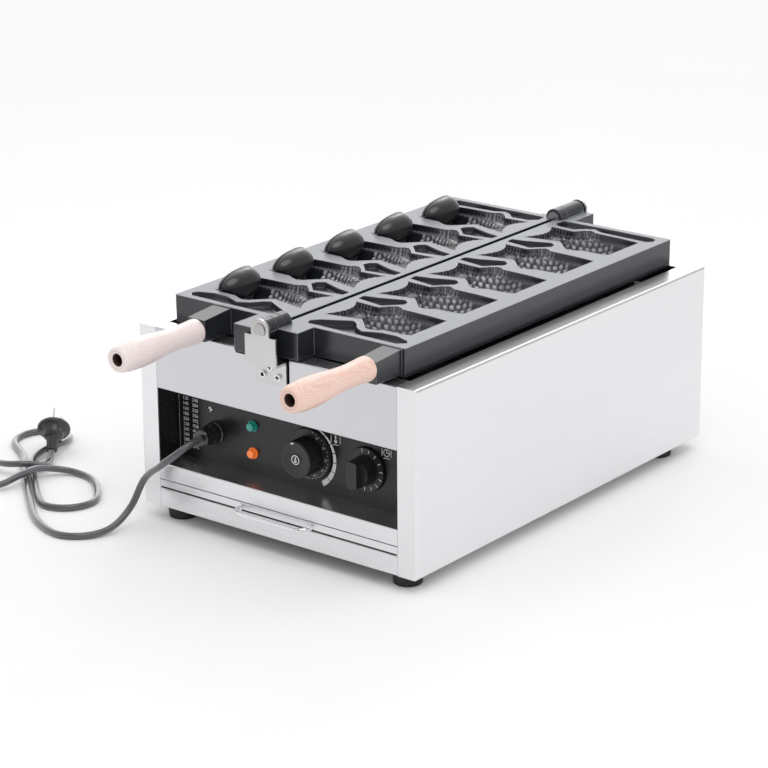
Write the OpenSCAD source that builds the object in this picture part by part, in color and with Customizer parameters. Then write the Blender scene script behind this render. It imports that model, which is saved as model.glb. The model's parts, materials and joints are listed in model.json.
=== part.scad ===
// Countertop fish-waffle cooker: two cast mould plates that flip about a centre hinge,
// over tube heaters in a folded stainless housing with a recessed control panel.
// X runs left to right, Y from front to back, Z up from the surface it stands on.

/* [Housing] */
// Width of the housing
housing_w = 390; // [370:1:430]
// Depth of the housing, front to back
housing_d = 565; // [545:1:600]
// Height of the housing without its feet
housing_h = 214; // [208:1:230]
// Thickness of the stainless sheet
sheet_t = 1.5; // [1:0.1:2]
// Outside radius of the bends in the side panels
bend_r = 3; // [2:0.5:4]
// Width of the side panels' front and rear flanges
side_flange = 25; // [20:1:28]
// Depth of the turned-down lip under the top rim
rim_lip = 9; // [6:1:12]
// Depth of the front and rear panels' top flange
top_flange = 23; // [20:1:30]
// Width of the side panels' bottom flanges, which the feet are screwed to
foot_flange = 56; // [52:1:70]
// Gap between neighbouring panels
seam = 0.3; // [0.2:0.1:0.5]

/* [Control recess] */
// Top of the control opening above the housing's bottom
opening_top = 142; // [138:1:150]
// Bottom of the control opening above the housing's bottom
opening_bottom = 53; // [48:1:58]
// Depth of the control panel behind the front face
recess_depth = 36; // [32:1:44]
// Height of the knobs' centres above the housing's bottom
knob_level = 96; // [92:1:102]
// Place of the temperature knob across the front
temp_x = 22; // [14:1:28]
// Place of the timer knob across the front
timer_x = 101; // [94:1:108]
// Place of the two lamps across the front
lamp_x = -60.5; // [-70:0.5:-50]
// Half the height between the two lamps
lamp_rise = 16; // [12:1:20]
// Place of the cable gland across the front
gland_x = -115; // [-122:1:-108]
// Height of the cable gland above the housing's bottom
gland_level = 91; // [86:1:98]

/* [Drip tray] */
// Height of the front sill under the tray
sill_h = 22.6; // [20:0.2:26]
// Height of the tray's front edge
tray_face_h = 10.2; // [8:0.2:13]
// Length of the tray
tray_l = 470; // [380:5:500]
// Gap between the tray's runners and the nuts of the feet
runner_gap = 0.5; // [0.3:0.1:8]
// Thickness of the tray's sheet
tray_t = 1; // [0.8:0.1:1.5]
// Width between the tray handle's legs
pull_span = 100; // [80:2:120]
// Reach of the tray handle from the front face
pull_reach = 15; // [12:1:24]
// Diameter of the tray handle's rod
pull_d = 5; // [4:0.5:6]
// Downward lean of the tray handle
pull_lean = 8; // [0:1:15]

/* [Feet] */
// Height of the feet
foot_h = 18; // [12:1:30]
// Diameter of the feet
foot_d = 35; // [26:1:42]
// Distance of the feet's centres from the housing's sides
foot_inset = 33; // [26:1:45]
// Distance of the front feet's centres from the front
foot_front = 28; // [24:1:45]
// Distance of the rear feet's centres from the back
foot_rear = 43; // [26:1:60]

/* [Mould plates] */
// Width of one plate
plate_w = 158; // [157:1:164]
// Length of a plate
plate_l = 514; // [508:1:520]
// Height of a plate
plate_t = 32; // [31:0.5:36]
// Gap between the two open plates
plate_gap = 7; // [4:0.5:8]
// Gap under the plates above the housing's top
plate_lift = 1; // [0.5:0.1:3]
// Gap between the two plates when they are closed
closed_gap = 1.6; // [1:0.1:3]
// Number of fish moulds in a row
fish_count = 5; // [3:1:5]
// Distance from one fish mould to the next
fish_pitch = 94; // [92:0.5:98]
// Depth of the fins and tail
fin_depth = 8; // [6:0.5:10]
// Radius of the fish's body at its head
head_r = 31.5; // [30:0.25:32]
// Radius of the fish's body at its tail
tail_r = 14; // [12:0.5:18]
// Depth of the relief pockets between the fish
pocket_depth = 9; // [5:0.5:11]
// Thickness of the plate's rim wall
rim_wall = 6; // [5:0.5:7]
// Thickness of the casting under the moulds
cast_wall = 3.5; // [2.5:0.25:4]
// Gap for batter round the mouth core
mouth_gap = 2.5; // [2:0.25:4]
// Height of a core above the plate's top
core_rise = 16.5; // [13:0.5:18]
// Gap between the rim of a core and the right mould's side
rim_gap = 1.5; // [1.5:0.25:4]

/* [Hinge] */
// Diameter of the hinge pins
pin_d = 16; // [12:1:18]
// Running clearance round the hinge pins
pin_fit = 0.05; // [0.02:0.01:0.09]
// Diameter of the hinge knuckles
knuckle_d = 23; // [22:0.5:26]
// Gap between neighbouring knuckles
knuckle_gap = 1; // [0.5:0.25:2]
// Thickness of the hinge brackets
bracket_t = 2.5; // [2:0.25:3]
// Width of the hinge brackets
bracket_w = 43; // [38:1:48]
// Reach of the hinge brackets past the housing
bracket_reach = 19.5; // [19:0.5:24]
// Height of the bracket's foot on the panel
bracket_foot = 28; // [24:1:34]

/* [Handles] */
// Reach of the handle bosses past the housing's front
boss_reach = 18; // [14:1:22]
// Width of the handle bosses
boss_w = 24; // [20:1:26]
// Length of the wooden grips
grip_l = 127; // [100:1:150]
// Largest diameter of the wooden grips
grip_d = 33; // [28:1:36]
// Diameter of the grips where they meet the bosses
grip_root_d = 25; // [22:1:28]
// Place of the left handle from the hinge
left_grip_x = 92; // [80:1:110]
// Place of the right handle from the hinge
right_grip_x = 145; // [120:1:147]
// Depth of the left handle's centre below the plates' top
left_grip_drop = 18; // [15:0.5:19]
// Depth of the right handle's centre below the plates' top
right_grip_drop = 13; // [13:0.5:18]
// Diameter of the rod through a grip
rod_d = 8; // [6:0.5:9]
// Diameter of the opening in the grip's end
grip_bore = 13.5; // [12:0.5:15]

/* [Heaters] */
// Diameter of the tube heaters
heater_d = 8; // [6:0.5:9]
// Spacing of the heater's legs
heater_pitch = 30; // [26:1:32]
// Gap between the heaters and the plates
heater_gap = 12; // [8:1:16]

/* [Mains lead] */
// Diameter of the mains lead
cord_d = 8; // [7:0.5:9]
// Diameter of the plug's face
plug_d = 40; // [36:1:42]
// Length of the plug's body with its strain relief
plug_l = 37; // [32:1:42]
// Length of the plug's flat pins
prong_l = 18; // [16:1:20]

/* [Hidden] */
$fn = 48;

// Heights of the housing and of the plates above the floor
base_z = foot_h;
top_z = base_z + housing_h;
plate_bottom = top_z + plate_lift;
parting_z = plate_bottom + plate_t;
hinge_z = parting_z + closed_gap / 2;
plate_in = plate_gap / 2;
plate_out = plate_in + plate_w;
plate_front = (housing_d - plate_l) / 2;
plate_back = plate_front + plate_l;
half_w = housing_w / 2;
inner_w = housing_w - 2 * side_flange;

// The part is centred over its own outline, so its front face lies forward of the middle
pin_proud = 1.5;
front_reach = boss_reach + grip_l;
rear_reach = bracket_reach + pin_proud;
front_y = (front_reach - rear_reach - housing_d) / 2;

// Small overlap that makes a cut run clean through a face
cut = 1;
// Gap between pieces that sit against each other
snug = 0.15;

foot_screw_d = 6;
foot_nut_d = 11;

// Control panel
panel_t = 1.2;
panel_rise = 8;
knob_gap = 1;
shaft_d = 6;
shaft_fit = 0.05;
temp_face = 9;
timer_face = 8;
skirt_back = recess_depth - knob_gap;
skirt_t = 3;
thermostat_size = [46, 34, 44];
timer_size = [50, 46, 50];
lamp_d = 13;
lamp_hole = 10;
gland_hole = 16;
screw_x = -124;
screw_level = 116;
box_depth = 95;
box_back = recess_depth + box_depth;
knob_z = base_z + knob_level;
lamp_levels = [knob_z - 2 - lamp_rise, knob_z - 2 + lamp_rise];
gland_z = base_z + gland_level;

// Drip tray and what carries it
tray_z = base_z + sill_h + seam;
tray_clear = 0.5;
runner_w = 14;
runner_edge = 6;
tray_w = 2 * (half_w - foot_inset - foot_nut_d / 2 - runner_gap - runner_edge);
pull_r = 12;

// Knuckles along the hinge, measured from the housing's front and back faces
front_outer = [-15.5, -3];
front_middle = [-3 + knuckle_gap, 8.5];
front_inner = [8.5 + knuckle_gap, 21];
rear_inner = [housing_d - 34, housing_d - 21];
rear_outer = [housing_d - 21 + knuckle_gap, housing_d + 14];
knuckle_clear = 0.6;
left_boss_w = 40;
right_boss_w = 38;
rear_boss_w = 25;
boss_gap = 1;
boss_lift = 3;
boss_fall = 4.5;

// Fish mould: its body leans to the back of its own centre
fish_lift = 3;
body_drop = 2;
head_x = 139;
core_foot = 8;
core_x = head_x - core_foot;
body_start = 46;
body_full = 100;
first_fish = plate_front + (plate_l - fish_pitch * (fish_count - 1)) / 2;

// Heaters and what carries them
heater_z = plate_bottom - heater_gap - heater_d / 2;
rail_t = 2;
rail_h = 20;
rail_top = heater_z - heater_d / 2;
heater_legs = 4;
heater_in = 35;
heater_front = 50;
heater_back = 40;
rail_places = [0.13, 0.38, 0.62, 0.88];
sense_x = heater_in + 1.5 * heater_pitch;
sense_y = 110;

// Mains lead: its route from the gland, with y from the front face and z from the floor
cord_route = [
    [-115, 8.5, 109], [-116, -7.5, 106.6], [-122.5, -22, 98.5], [-140, -29, 83],
    [-174.5, -21, 56.5], [-184, -35, 25], [-188, -62, 8], [-199, -91, 4.4], [-225, -108, 4.2],
    [-259, -101, 4.2], [-300, -76, 4.2], [-391, 3, 5.5], [-434, 44, 5.5], [-482, 77, 4],
    [-490, 108, 4.2], [-473, 133, 4.2], [-445, 133, 4.2], [-426, 107, 7.5], [-424, 66, 8],
    [-411, 36, 6], [-376, 3, 5], [-318, -46, 4.2], [-291, -52, 4.2], [-270, -35, 4.2],
    [-269, -4, 4.2], [-309, 36, 4], [-343, 45, 4.5], [-366, 33, 8], [-375, 6, 14.5],
    [-376, -19, 14], [-386, -47, 7.5], [-422, -69, 4.5], [-468, -50, 4.2], [-477, -22, 4.5],
    [-458, -2, 8], [-412, -3, 15], [-392, 11, 15.7], [-388, 31, 8.5], [-397, 51, 6],
    [-408, 66, 12]];
cord_sides = 8;
cord_steps = 2;
plug_heading = 128;
plug_tilt = 30;
// Share of the lead's radius added at the tube's corners, so that its flats keep the girth
cord_corner = 1.04;
plug_end = cord_route[len(cord_route) - 1];

// Moves a piece from the front-face measurements to the part's own centre
module place() {
    translate([0, front_y, 0]) children();
}

// A rectangle with true round corners, from its low corner
module round_rect(size, r) {
    translate([r, 0]) square([size[0] - 2 * r, size[1]]);
    translate([0, r]) square([size[0], size[1] - 2 * r]);
    for (x = [r, size[0] - r], y = [r, size[1] - r])
        translate([x, y]) circle(r);
}

// A slot with round ends, from the centre of its lower end
module slot(length, width) {
    translate([-width / 2, 0]) square([width, length - width]);
    circle(width / 2);
    translate([0, length - width]) circle(width / 2);
}

// A cylinder that runs along +Y from the given place
module rod_y(r, y0, y1, x = 0, z = 0) {
    translate([x, y0, z]) rotate([-90, 0, 0]) cylinder(r = r, h = y1 - y0);
}

// Extrudes an outline drawn in X and Z from y0 back to y1
module along_y(y0, y1) {
    translate([0, y1, 0]) rotate([90, 0, 0]) linear_extrude(y1 - y0) children();
}

// Extrudes an outline drawn in Y and Z from x0 across to x1
module along_x(x0, x1) {
    translate([x0, 0, 0]) rotate([90, 0, 90]) linear_extrude(x1 - x0) children();
}

// Right side panel: one folded sheet with flanges front, back and below and a lipped rim on top
module side_sheet() {
    inner_x = half_w - side_flange;
    difference() {
        union() {
            intersection() {
                translate([0, 0, base_z]) linear_extrude(housing_h) difference() {
                    translate([inner_x - bend_r, 0]) round_rect([side_flange + bend_r, housing_d], bend_r);
                    translate([inner_x - bend_r - cut, -cut]) square([bend_r + cut, housing_d + 2 * cut]);
                }
                along_y(-cut, housing_d + cut)
                    translate([0, base_z]) round_rect([half_w, housing_h], bend_r);
            }
            translate([half_w - foot_flange, sheet_t + seam, base_z])
                cube([foot_flange - bend_r, housing_d - 2 * sheet_t - 2 * seam, sheet_t]);
        }
        // The hollow behind the flanges
        translate([0, 0, base_z + sheet_t]) linear_extrude(housing_h - 2 * sheet_t)
            translate([0, sheet_t]) round_rect([half_w - sheet_t, housing_d - 2 * sheet_t], bend_r - sheet_t);
        foot_places() cylinder(d = foot_screw_d + 0.4, h = 2 * base_z);
    }
    translate([inner_x, top_flange + 1, top_z - rim_lip])
        cube([sheet_t, housing_d - 2 * top_flange - 2, rim_lip - sheet_t / 2]);
}

// Lap behind the side panels' front flange, on both ends of a front strip
module end_laps(z0, z1) {
    for (s = [-1, 1]) translate([s * (inner_w / 2 + 2) - 12, sheet_t, z0]) cube([24, sheet_t, z1 - z0]);
}

// Centres of the four feet
module foot_places() {
    for (x = [foot_inset - half_w, half_w - foot_inset], y = [foot_front, housing_d - foot_rear])
        translate([x, y, 0]) children();
}

module right_side_panel() {
    color([0.86, 0.86, 0.87]) place() side_sheet();
}

module left_side_panel() {
    color([0.86, 0.86, 0.87]) place() mirror([1, 0, 0]) side_sheet();
}

// Holes for a hinge bracket's three screws, drawn in X and Z about the foot's lower edge
module bracket_holes(d) {
    for (p = screw_places) translate(p) circle(d = d);
}
screw_places = [[0, bracket_foot - 9], [-10.5, 9], [10.5, 9]];
bracket_low = base_z + housing_h - 3 - bracket_foot;
screw_d = 4;

// Front panel: a sheet above the control opening, folded back under the plates and over the controls
module front_panel() {
    panel_w = inner_w - 2 * seam;
    low_z = base_z + opening_top;
    notch_w = 76;
    notch_x = -52;
    notch_h = 6.5;
    relief_w = 3.2;
    color([0.8, 0.8, 0.81]) place() difference() {
        union() {
            along_x(-panel_w / 2, panel_w / 2) difference() {
                translate([0, low_z]) round_rect([recess_depth, top_z - low_z], bend_r / 2);
                translate([sheet_t, low_z + sheet_t]) square([recess_depth, top_z - low_z - 2 * sheet_t]);
                translate([top_flange, low_z + sheet_t]) square([recess_depth, top_z - low_z]);
            }
            end_laps(low_z + 2, top_z - 4);
        }
        // The bosses of the plates hang over this notch in the top edge
        translate([notch_x, -cut, top_z - notch_h]) cube([notch_w, top_flange + 2 * cut, notch_h + cut]);
        translate([notch_x + notch_w - relief_w, -cut, top_z - bracket_foot])
            cube([relief_w, sheet_t + 2 * cut, bracket_foot]);
        translate([0, 0, bracket_low]) along_y(-cut, sheet_t + cut) bracket_holes(screw_d + 0.4);
    }
}

// Rear panel: a full-height sheet with a top flange and rows of cooling slots
module rear_panel() {
    panel_w = inner_w - 2 * seam;
    low_z = base_z + 2 * sheet_t + seam;
    slot_h = 46;
    slot_w = 4;
    slot_pitch = 14;
    color([0.8, 0.8, 0.81]) place() difference() {
        union() {
            along_x(-panel_w / 2, panel_w / 2) translate([housing_d, 0]) mirror([1, 0]) difference() {
                translate([0, low_z]) round_rect([top_flange, top_z - low_z], bend_r / 2);
                translate([sheet_t, low_z - cut]) square([top_flange, top_z - low_z - sheet_t + cut]);
            }
            translate([0, housing_d, 0]) mirror([0, 1, 0]) end_laps(low_z + 2, top_z - 4);
        }
        along_y(housing_d - sheet_t - cut, housing_d + cut)
            for (side = [-1, 1], i = [0:6])
                translate([side * (50 + i * slot_pitch), base_z + 55]) slot(slot_h, slot_w);
        translate([0, 0, bracket_low])
            along_y(housing_d - sheet_t - cut, housing_d + cut) bracket_holes(screw_d + 0.4);
    }
}

// Base pan: the floor of the housing, on the side panels' lower flanges
module base_pan() {
    pan_w = housing_w - 2 * sheet_t - 2 * seam;
    pan_d = housing_d - 2 * sheet_t - 2 * seam;
    color([0.7, 0.7, 0.72]) place() difference() {
        translate([-pan_w / 2, sheet_t + seam, base_z + sheet_t]) cube([pan_w, pan_d, sheet_t]);
        foot_places() cylinder(d = foot_screw_d + 0.4, h = 2 * base_z);
        translate([0, 0, base_z]) linear_extrude(4 * sheet_t)
            for (side = [-1, 1], i = [0:4])
                translate([side * 60, housing_d / 2 - 100 + i * 40]) rotate(90 * side) slot(50, 6);
    }
}

// Front sill: the folded strip under the tray
module front_sill() {
    strip_w = inner_w - 2 * seam;
    lip = 14;
    color([0.84, 0.84, 0.85]) place() {
        along_x(-strip_w / 2, strip_w / 2) difference() {
            translate([0, base_z]) round_rect([lip, sill_h], bend_r / 2);
            translate([sheet_t, base_z - cut]) square([lip, sill_h - sheet_t + cut]);
        }
        end_laps(base_z + 2 * sheet_t, base_z + sill_h - 2);
    }
}

// Control shelf: the strip over the tray, folded back as the floor of the control box
module control_shelf() {
    strip_w = inner_w - 2 * seam;
    low_z = tray_z + tray_face_h + seam;
    high_z = base_z + opening_bottom;
    lip = 12;
    color([0.82, 0.82, 0.83]) place() {
        along_x(-strip_w / 2, strip_w / 2) difference() {
            translate([0, low_z]) round_rect([box_back, high_z - low_z], bend_r / 2);
            translate([sheet_t, low_z + sheet_t]) square([box_back, high_z - low_z - 2 * sheet_t]);
            translate([lip, low_z - cut]) square([box_back, high_z - low_z - sheet_t + cut]);
        }
        end_laps(low_z + 2, high_z - 1);
    }
}

// Control panel: a black sheet at the back of the recess with side walls to the front flanges
module control_panel() {
    low_z = base_z + opening_bottom;
    high_z = base_z + opening_top + panel_rise;
    half = inner_w / 2 + panel_t + 0.5;
    back = recess_depth + panel_t;
    color([0.1, 0.1, 0.11]) place() difference() {
        translate([0, 0, low_z]) linear_extrude(high_z - low_z) difference() {
            translate([-half, sheet_t]) square([2 * half, back - sheet_t]);
            translate([panel_t - half, 0]) square([2 * (half - panel_t), recess_depth]);
        }
        // The walls end under the front panel's fold
        translate([-half - cut, 0, base_z + opening_top])
            cube([2 * half + 2 * cut, recess_depth, panel_rise + cut]);
        for (x = [temp_x, timer_x]) rod_y(shaft_d / 2 + 1, recess_depth - cut, back + cut, x, knob_z);
        for (z = lamp_levels) rod_y(lamp_hole / 2 + snug, recess_depth - cut, back + cut, lamp_x, z);
        rod_y(gland_hole / 2 + snug, recess_depth - cut, back + cut, gland_x, gland_z);
        rod_y(screw_d / 2 + 0.2, recess_depth - cut, back + cut, screw_x, base_z + screw_level);
    }
}

// Partition: the cover that keeps the heat and the crumbs off the control box
module partition() {
    wall_w = housing_w - 2 * sheet_t;
    low_z = base_z + opening_bottom - sheet_t;
    high_z = base_z + opening_top + 22;
    color([0.7, 0.7, 0.72]) place() difference() {
        along_x(-wall_w / 2, wall_w / 2) difference() {
            translate([2 * sheet_t + seam, low_z]) square([box_back + sheet_t - 2 * sheet_t - seam, high_z - low_z]);
            translate([0, low_z - cut]) square([box_back, high_z - low_z - sheet_t + cut]);
        }
        translate([sense_x, sense_y, high_z - sheet_t - cut]) cylinder(d = 6, h = sheet_t + 2 * cut);
    }
}

// Two folded runners on the base pan that carry the tray
module tray_runners() {
    low_z = base_z + 2 * sheet_t;
    high_z = tray_z - tray_clear / 2;
    color([0.75, 0.75, 0.77]) place() for (s = [-1, 1]) mirror([s < 0 ? 1 : 0, 0, 0])
        along_y(14 + seam, 14 + tray_l)
            translate([tray_w / 2 - runner_w + runner_edge, low_z]) difference() {
                square([runner_w, high_z - low_z + 7]);
                translate([-cut, sheet_t]) square([runner_w - sheet_t + cut, high_z - low_z - 2 * sheet_t]);
                translate([-cut, high_z - low_z]) square([runner_w - sheet_t + cut, 7 + cut]);
            }
}

// Drip tray: a shallow pan behind its own front edge
module drip_tray() {
    face_w = inner_w - 2 * seam;
    color([0.84, 0.84, 0.85]) place() {
        difference() {
            union() {
                translate([-face_w / 2, 0, tray_z]) cube([face_w, sheet_t, tray_face_h]);
                translate([-tray_w / 2, sheet_t, tray_z]) cube([tray_w, tray_l - sheet_t, tray_face_h - 1]);
            }
            translate([-tray_w / 2 + tray_t, sheet_t + tray_t, tray_z + tray_t])
                cube([tray_w - 2 * tray_t, tray_l - sheet_t - 2 * tray_t, tray_face_h]);
        }
    }
}

// Tray handle: a bent rod that leans down a little, with small collars on the tray's front
module tray_handle() {
    pull_z = tray_z + tray_face_h / 2;
    r = pull_d / 2;
    collar_t = 2;
    color([0.9, 0.9, 0.92]) place() {
        intersection() {
            translate([0, 0, pull_z]) rotate([pull_lean, 0, 0]) {
                for (s = [-1, 1]) {
                    rod_y(r, pull_r - pull_reach, pull_d, s * pull_span / 2);
                    translate([s * (pull_span / 2 - pull_r), pull_r - pull_reach])
                        rotate(s > 0 ? -90 : 180) rotate_extrude(angle = 90) translate([pull_r, 0]) circle(r);
                }
                translate([pull_r - pull_span / 2, -pull_reach])
                    rotate([0, 90, 0]) cylinder(r = r, h = pull_span - 2 * pull_r);
            }
            translate([-pull_span, -2 * pull_reach, 0]) cube([2 * pull_span, 2 * pull_reach, 2 * pull_z]);
        }
        for (s = [-1, 1]) rod_y(r + 1.6, -collar_t, 0, s * pull_span / 2, pull_z);
    }
}

// Four tapered rubber feet with a hollow for the screw's head
module rubber_feet() {
    color([0.08, 0.08, 0.08]) place() foot_places() difference() {
        rotate_extrude() polygon([[0, 0], [foot_d / 2 - 3, 0], [foot_d / 2 - 1.5, 1], [foot_d / 2, foot_h - 4],
            [foot_d / 2, foot_h], [0, foot_h]]);
        translate([0, 0, -cut]) cylinder(d = 11, h = foot_h / 3 + cut);
        translate([0, 0, -cut]) cylinder(d = foot_screw_d, h = foot_h + 2 * cut);
    }
}

// Four screws that hold the feet to the base pan
module foot_screws() {
    head_z = foot_h / 3 - 3.6;
    color([0.75, 0.75, 0.77]) place() foot_places() {
        translate([0, 0, head_z]) cylinder(d = 10, h = 3.6);
        translate([0, 0, head_z]) cylinder(d = foot_screw_d, h = base_z + 2 * sheet_t + 6 - head_z);
        translate([0, 0, base_z + 2 * sheet_t]) cylinder(d = foot_nut_d, h = 4.5, $fn = 6);
    }
}

// Hinge bracket: a folded strap with its foot on the panel and a round tongue round the pin
module bracket_shape() {
    ledge_z = bracket_low + bracket_foot;
    shoulder_z = hinge_z - 7;
    tongue_r = 12.3;
    difference() {
        union() {
            translate([-bracket_w / 2, -bracket_t, bracket_low]) cube([bracket_w, bracket_t, bracket_foot]);
            translate([-bracket_w / 2, -bracket_reach, ledge_z - bracket_t])
                cube([bracket_w, bracket_reach, bracket_t]);
            along_y(-bracket_reach, bracket_t - bracket_reach) {
                translate([-bracket_w / 2, ledge_z - bracket_t])
                    square([bracket_w, shoulder_z - ledge_z + bracket_t]);
                translate([-tongue_r, ledge_z]) square([2 * tongue_r, hinge_z - ledge_z]);
                translate([0, hinge_z]) circle(tongue_r);
            }
        }
        // The pin's flat sits on the flat of this hole, so the pin can't turn
        along_y(-bracket_reach - cut, bracket_t - bracket_reach + cut) pin_outline(snug);
        translate([0, 0, bracket_low]) along_y(-bracket_t - cut, cut) bracket_holes(screw_d + 0.4);
    }
}

// Outline of the pin's keyed end, in X and Z
module pin_outline(grow) {
    r = pin_d / 2 - 0.5 + grow;
    flat = pin_d / 2 - 3 + grow;
    difference() {
        translate([0, hinge_z]) circle(r);
        translate([-r - cut, hinge_z - r - cut - flat]) square([2 * r + 2 * cut, r + cut]);
    }
}

module front_hinge_bracket() {
    color([0.78, 0.78, 0.79]) place() bracket_shape();
}

module rear_hinge_bracket() {
    color([0.78, 0.78, 0.79]) place() translate([0, housing_d, 0]) mirror([0, 1, 0]) bracket_shape();
}

// Round-headed screws through both brackets
module bracket_screws() {
    head_d = 8;
    head_h = 2.4;
    module one() {
        difference() {
            union() {
                rod_y(screw_d / 2, -bracket_t, sheet_t + 6);
                rod_y(head_d / 2, -bracket_t - head_h, -bracket_t);
            }
            translate([-0.5, -bracket_t - head_h - cut, -2.5]) cube([1, cut + 1, 5]);
            translate([-2.5, -bracket_t - head_h - cut, -0.5]) cube([5, cut + 1, 1]);
        }
        rod_y(3.4, sheet_t, sheet_t + 3, $fn = 6);
    }
    color([0.7, 0.7, 0.72]) place() for (p = screw_places) {
        translate([p[0], 0, bracket_low + p[1]]) one();
        translate([p[0], housing_d, bracket_low + p[1]]) mirror([0, 1, 0]) one();
    }
}

// Hinge pin for the front, with its keyed end in the bracket
module front_hinge_pin() {
    color([0.6, 0.6, 0.62]) place() {
        rod_y(pin_d / 2, bracket_t - bracket_reach, front_inner[1] + 3, 0, hinge_z);
        along_y(-bracket_reach - pin_proud, bracket_t - bracket_reach + cut) pin_outline(0);
    }
}

module rear_hinge_pin() {
    color([0.6, 0.6, 0.62]) place() {
        rod_y(pin_d / 2, rear_inner[0] - 3, housing_d + bracket_reach - bracket_t, 0, hinge_z);
        along_y(housing_d + bracket_reach - bracket_t - cut, housing_d + bracket_reach + pin_proud) pin_outline(0);
    }
}

// Fish outline seen from above: x from the hinge, y from the fish's own centre
function tail_edge(steps) = [for (i = [0:steps]) let (t = i / steps, y = 31 - 57 * t)
    [15 + 11.5 * sin(180 * pow(t, 0.9)) + (i % 2 == 0 ? 0 : 1.6), y]];
fish_points = concat(
    [[51, -18.4], [61.5, -16], [70, -24], [82, -36.5], [89, -39.5], [97, -37], [105, -32.5]],
    [[128, -32], [head_x, -28.5], [head_x, 34.5], [112, 37], [84, 38], [76, 38.5], [70, 42.5], [64, 43.5],
    [57, 38], [49.5, 28.7]],
    tail_edge(16));

// Relief pocket between two fish, and those at the two ends of the row
pocket_points = [[10.5, 41], [9.5, 53], [29, 57], [57, 68], [65, 62], [67, 53], [61, 47.5], [48.5, 34.5]];
front_pocket = [[22, -61], [18, -52], [25, -43], [42, -34], [58, -25], [66, -30], [76, -42], [88, -49],
    [108, -40], [128, -39], [148, -46], [152, -53], [144, -61]];
rear_pocket = [[14, 61], [12, 46], [22, 37], [46, 36], [56, 46], [66, 51], [78, 45], [112, 43],
    [144, 42], [151, 48], [148, 58], [142, 61]];

// The fish's round body, with its axis along X near the parting plane, grown by a wall
module fish_body(grow, x0, x1) {
    translate([x0, 0, 0]) rotate([90, 0, 90]) rotate_extrude()
        polygon(body_profile(grow, x0, x1));
}
function body_r(x) = x < body_full ? tail_r + (head_r - tail_r) * sin(90 * (x - body_start) / (body_full - body_start))
    : head_r;
function body_profile(grow, x0, x1, steps = 8) = concat([[0, 0]],
    [for (i = [0:steps]) let (x = x0 + (x1 - x0) * i / steps) [body_r(x) + grow, x - x0]],
    [[0, x1 - x0]]);

// One fish cavity below the parting plane
module fish_cavity() {
    translate([0, 0, -fin_depth]) linear_extrude(fin_depth + cut) polygon(fish_points);
    intersection() {
        translate([0, fish_lift, body_drop]) fish_body(0, body_start, head_x);
        translate([0, 0, -plate_t]) linear_extrude(plate_t + cut) polygon(fish_points);
    }
}

// Places a shape at each fish of the row
module each_fish() {
    for (i = [0:fish_count - 1]) translate([0, first_fish + i * fish_pitch, parting_z]) children();
}

// Everything that is cut into the plate's top
module moulds() {
    each_fish() fish_cavity();
    for (i = [0:fish_count - 2])
        translate([0, first_fish + i * fish_pitch, parting_z - pocket_depth])
            linear_extrude(pocket_depth + cut) polygon(pocket_points);
    translate([0, first_fish, parting_z - pocket_depth])
        linear_extrude(pocket_depth + cut) polygon(front_pocket);
    translate([0, first_fish + (fish_count - 1) * fish_pitch, parting_z - pocket_depth])
        linear_extrude(pocket_depth + cut) polygon(rear_pocket);
}

// The casting's hollow back, round the bodies of the fish
module hollow_back() {
    web = fin_depth + 6;
    difference() {
        translate([plate_in + rim_wall, plate_front + rim_wall, plate_bottom - cut])
            cube([plate_w - 2 * rim_wall, plate_l - 2 * rim_wall, plate_t - web + cut]);
        each_fish() translate([0, fish_lift, body_drop]) fish_body(cast_wall, body_start - cast_wall, head_x + cast_wall);
    }
}

// One plate on the right of the hinge, without its knuckles
module plate_casting(boss_front, boss_back, boss_width, grip_x, grip_drop) {
    difference() {
        union() {
            difference() {
                translate([0, 0, plate_bottom]) linear_extrude(plate_t)
                    translate([plate_in, plate_front]) round_rect([plate_w, plate_l], 1.5);
                hollow_back();
            }
            // Blocks that carry the knuckles
            translate([plate_in, boss_front, plate_bottom + boss_gap])
                cube([boss_width - plate_in, plate_front - boss_front + cut, plate_t - boss_gap]);
            translate([plate_in, plate_back - cut, plate_bottom + boss_gap])
                cube([rear_boss_w - plate_in, boss_back - plate_back + cut, plate_t - boss_gap]);
            // Boss for the handle, with a top that falls away to the front
            along_x(grip_x - boss_w / 2, grip_x + boss_w / 2) polygon([
                [-boss_reach, plate_bottom + boss_lift], [plate_front + cut, plate_bottom + boss_lift],
                [plate_front + cut, parting_z - 1], [-boss_reach, parting_z - boss_fall]]);
        }
        moulds();
        rod_y(rod_d / 2 + pin_fit, -boss_reach - cut, plate_front - 4, grip_x, parting_z - grip_drop);
    }
}

// Knuckles between two places along the hinge, joined to their block by a web
module knuckle(span) {
    rod_y(knuckle_d / 2, span[0], span[1], 0, hinge_z);
    translate([0, span[0], plate_bottom + boss_gap + 6])
        cube([knuckle_d / 2 + 6, span[1] - span[0], plate_t - boss_gap - 6]);
}

// Clears a round path for the other plate's knuckle
module knuckle_path(span) {
    rod_y(knuckle_d / 2 + knuckle_clear, span[0] - knuckle_gap, span[1] + knuckle_gap, 0, hinge_z);
}

module pin_bores() {
    rod_y(pin_d / 2 + pin_fit, -2 * bracket_reach, front_inner[1] + 4, 0, hinge_z);
    rod_y(pin_d / 2 + pin_fit, rear_inner[0] - 4, housing_d + 2 * bracket_reach, 0, hinge_z);
}

module right_plate() {
    color([0.2, 0.2, 0.21]) place() difference() {
        union() {
            difference() {
                plate_casting(front_middle[0], rear_outer[1], right_boss_w, right_grip_x, right_grip_drop);
                knuckle_path(front_inner);
                knuckle_path(rear_inner);
            }
            knuckle(front_middle);
            knuckle(rear_outer);
        }
        pin_bores();
    }
}

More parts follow.
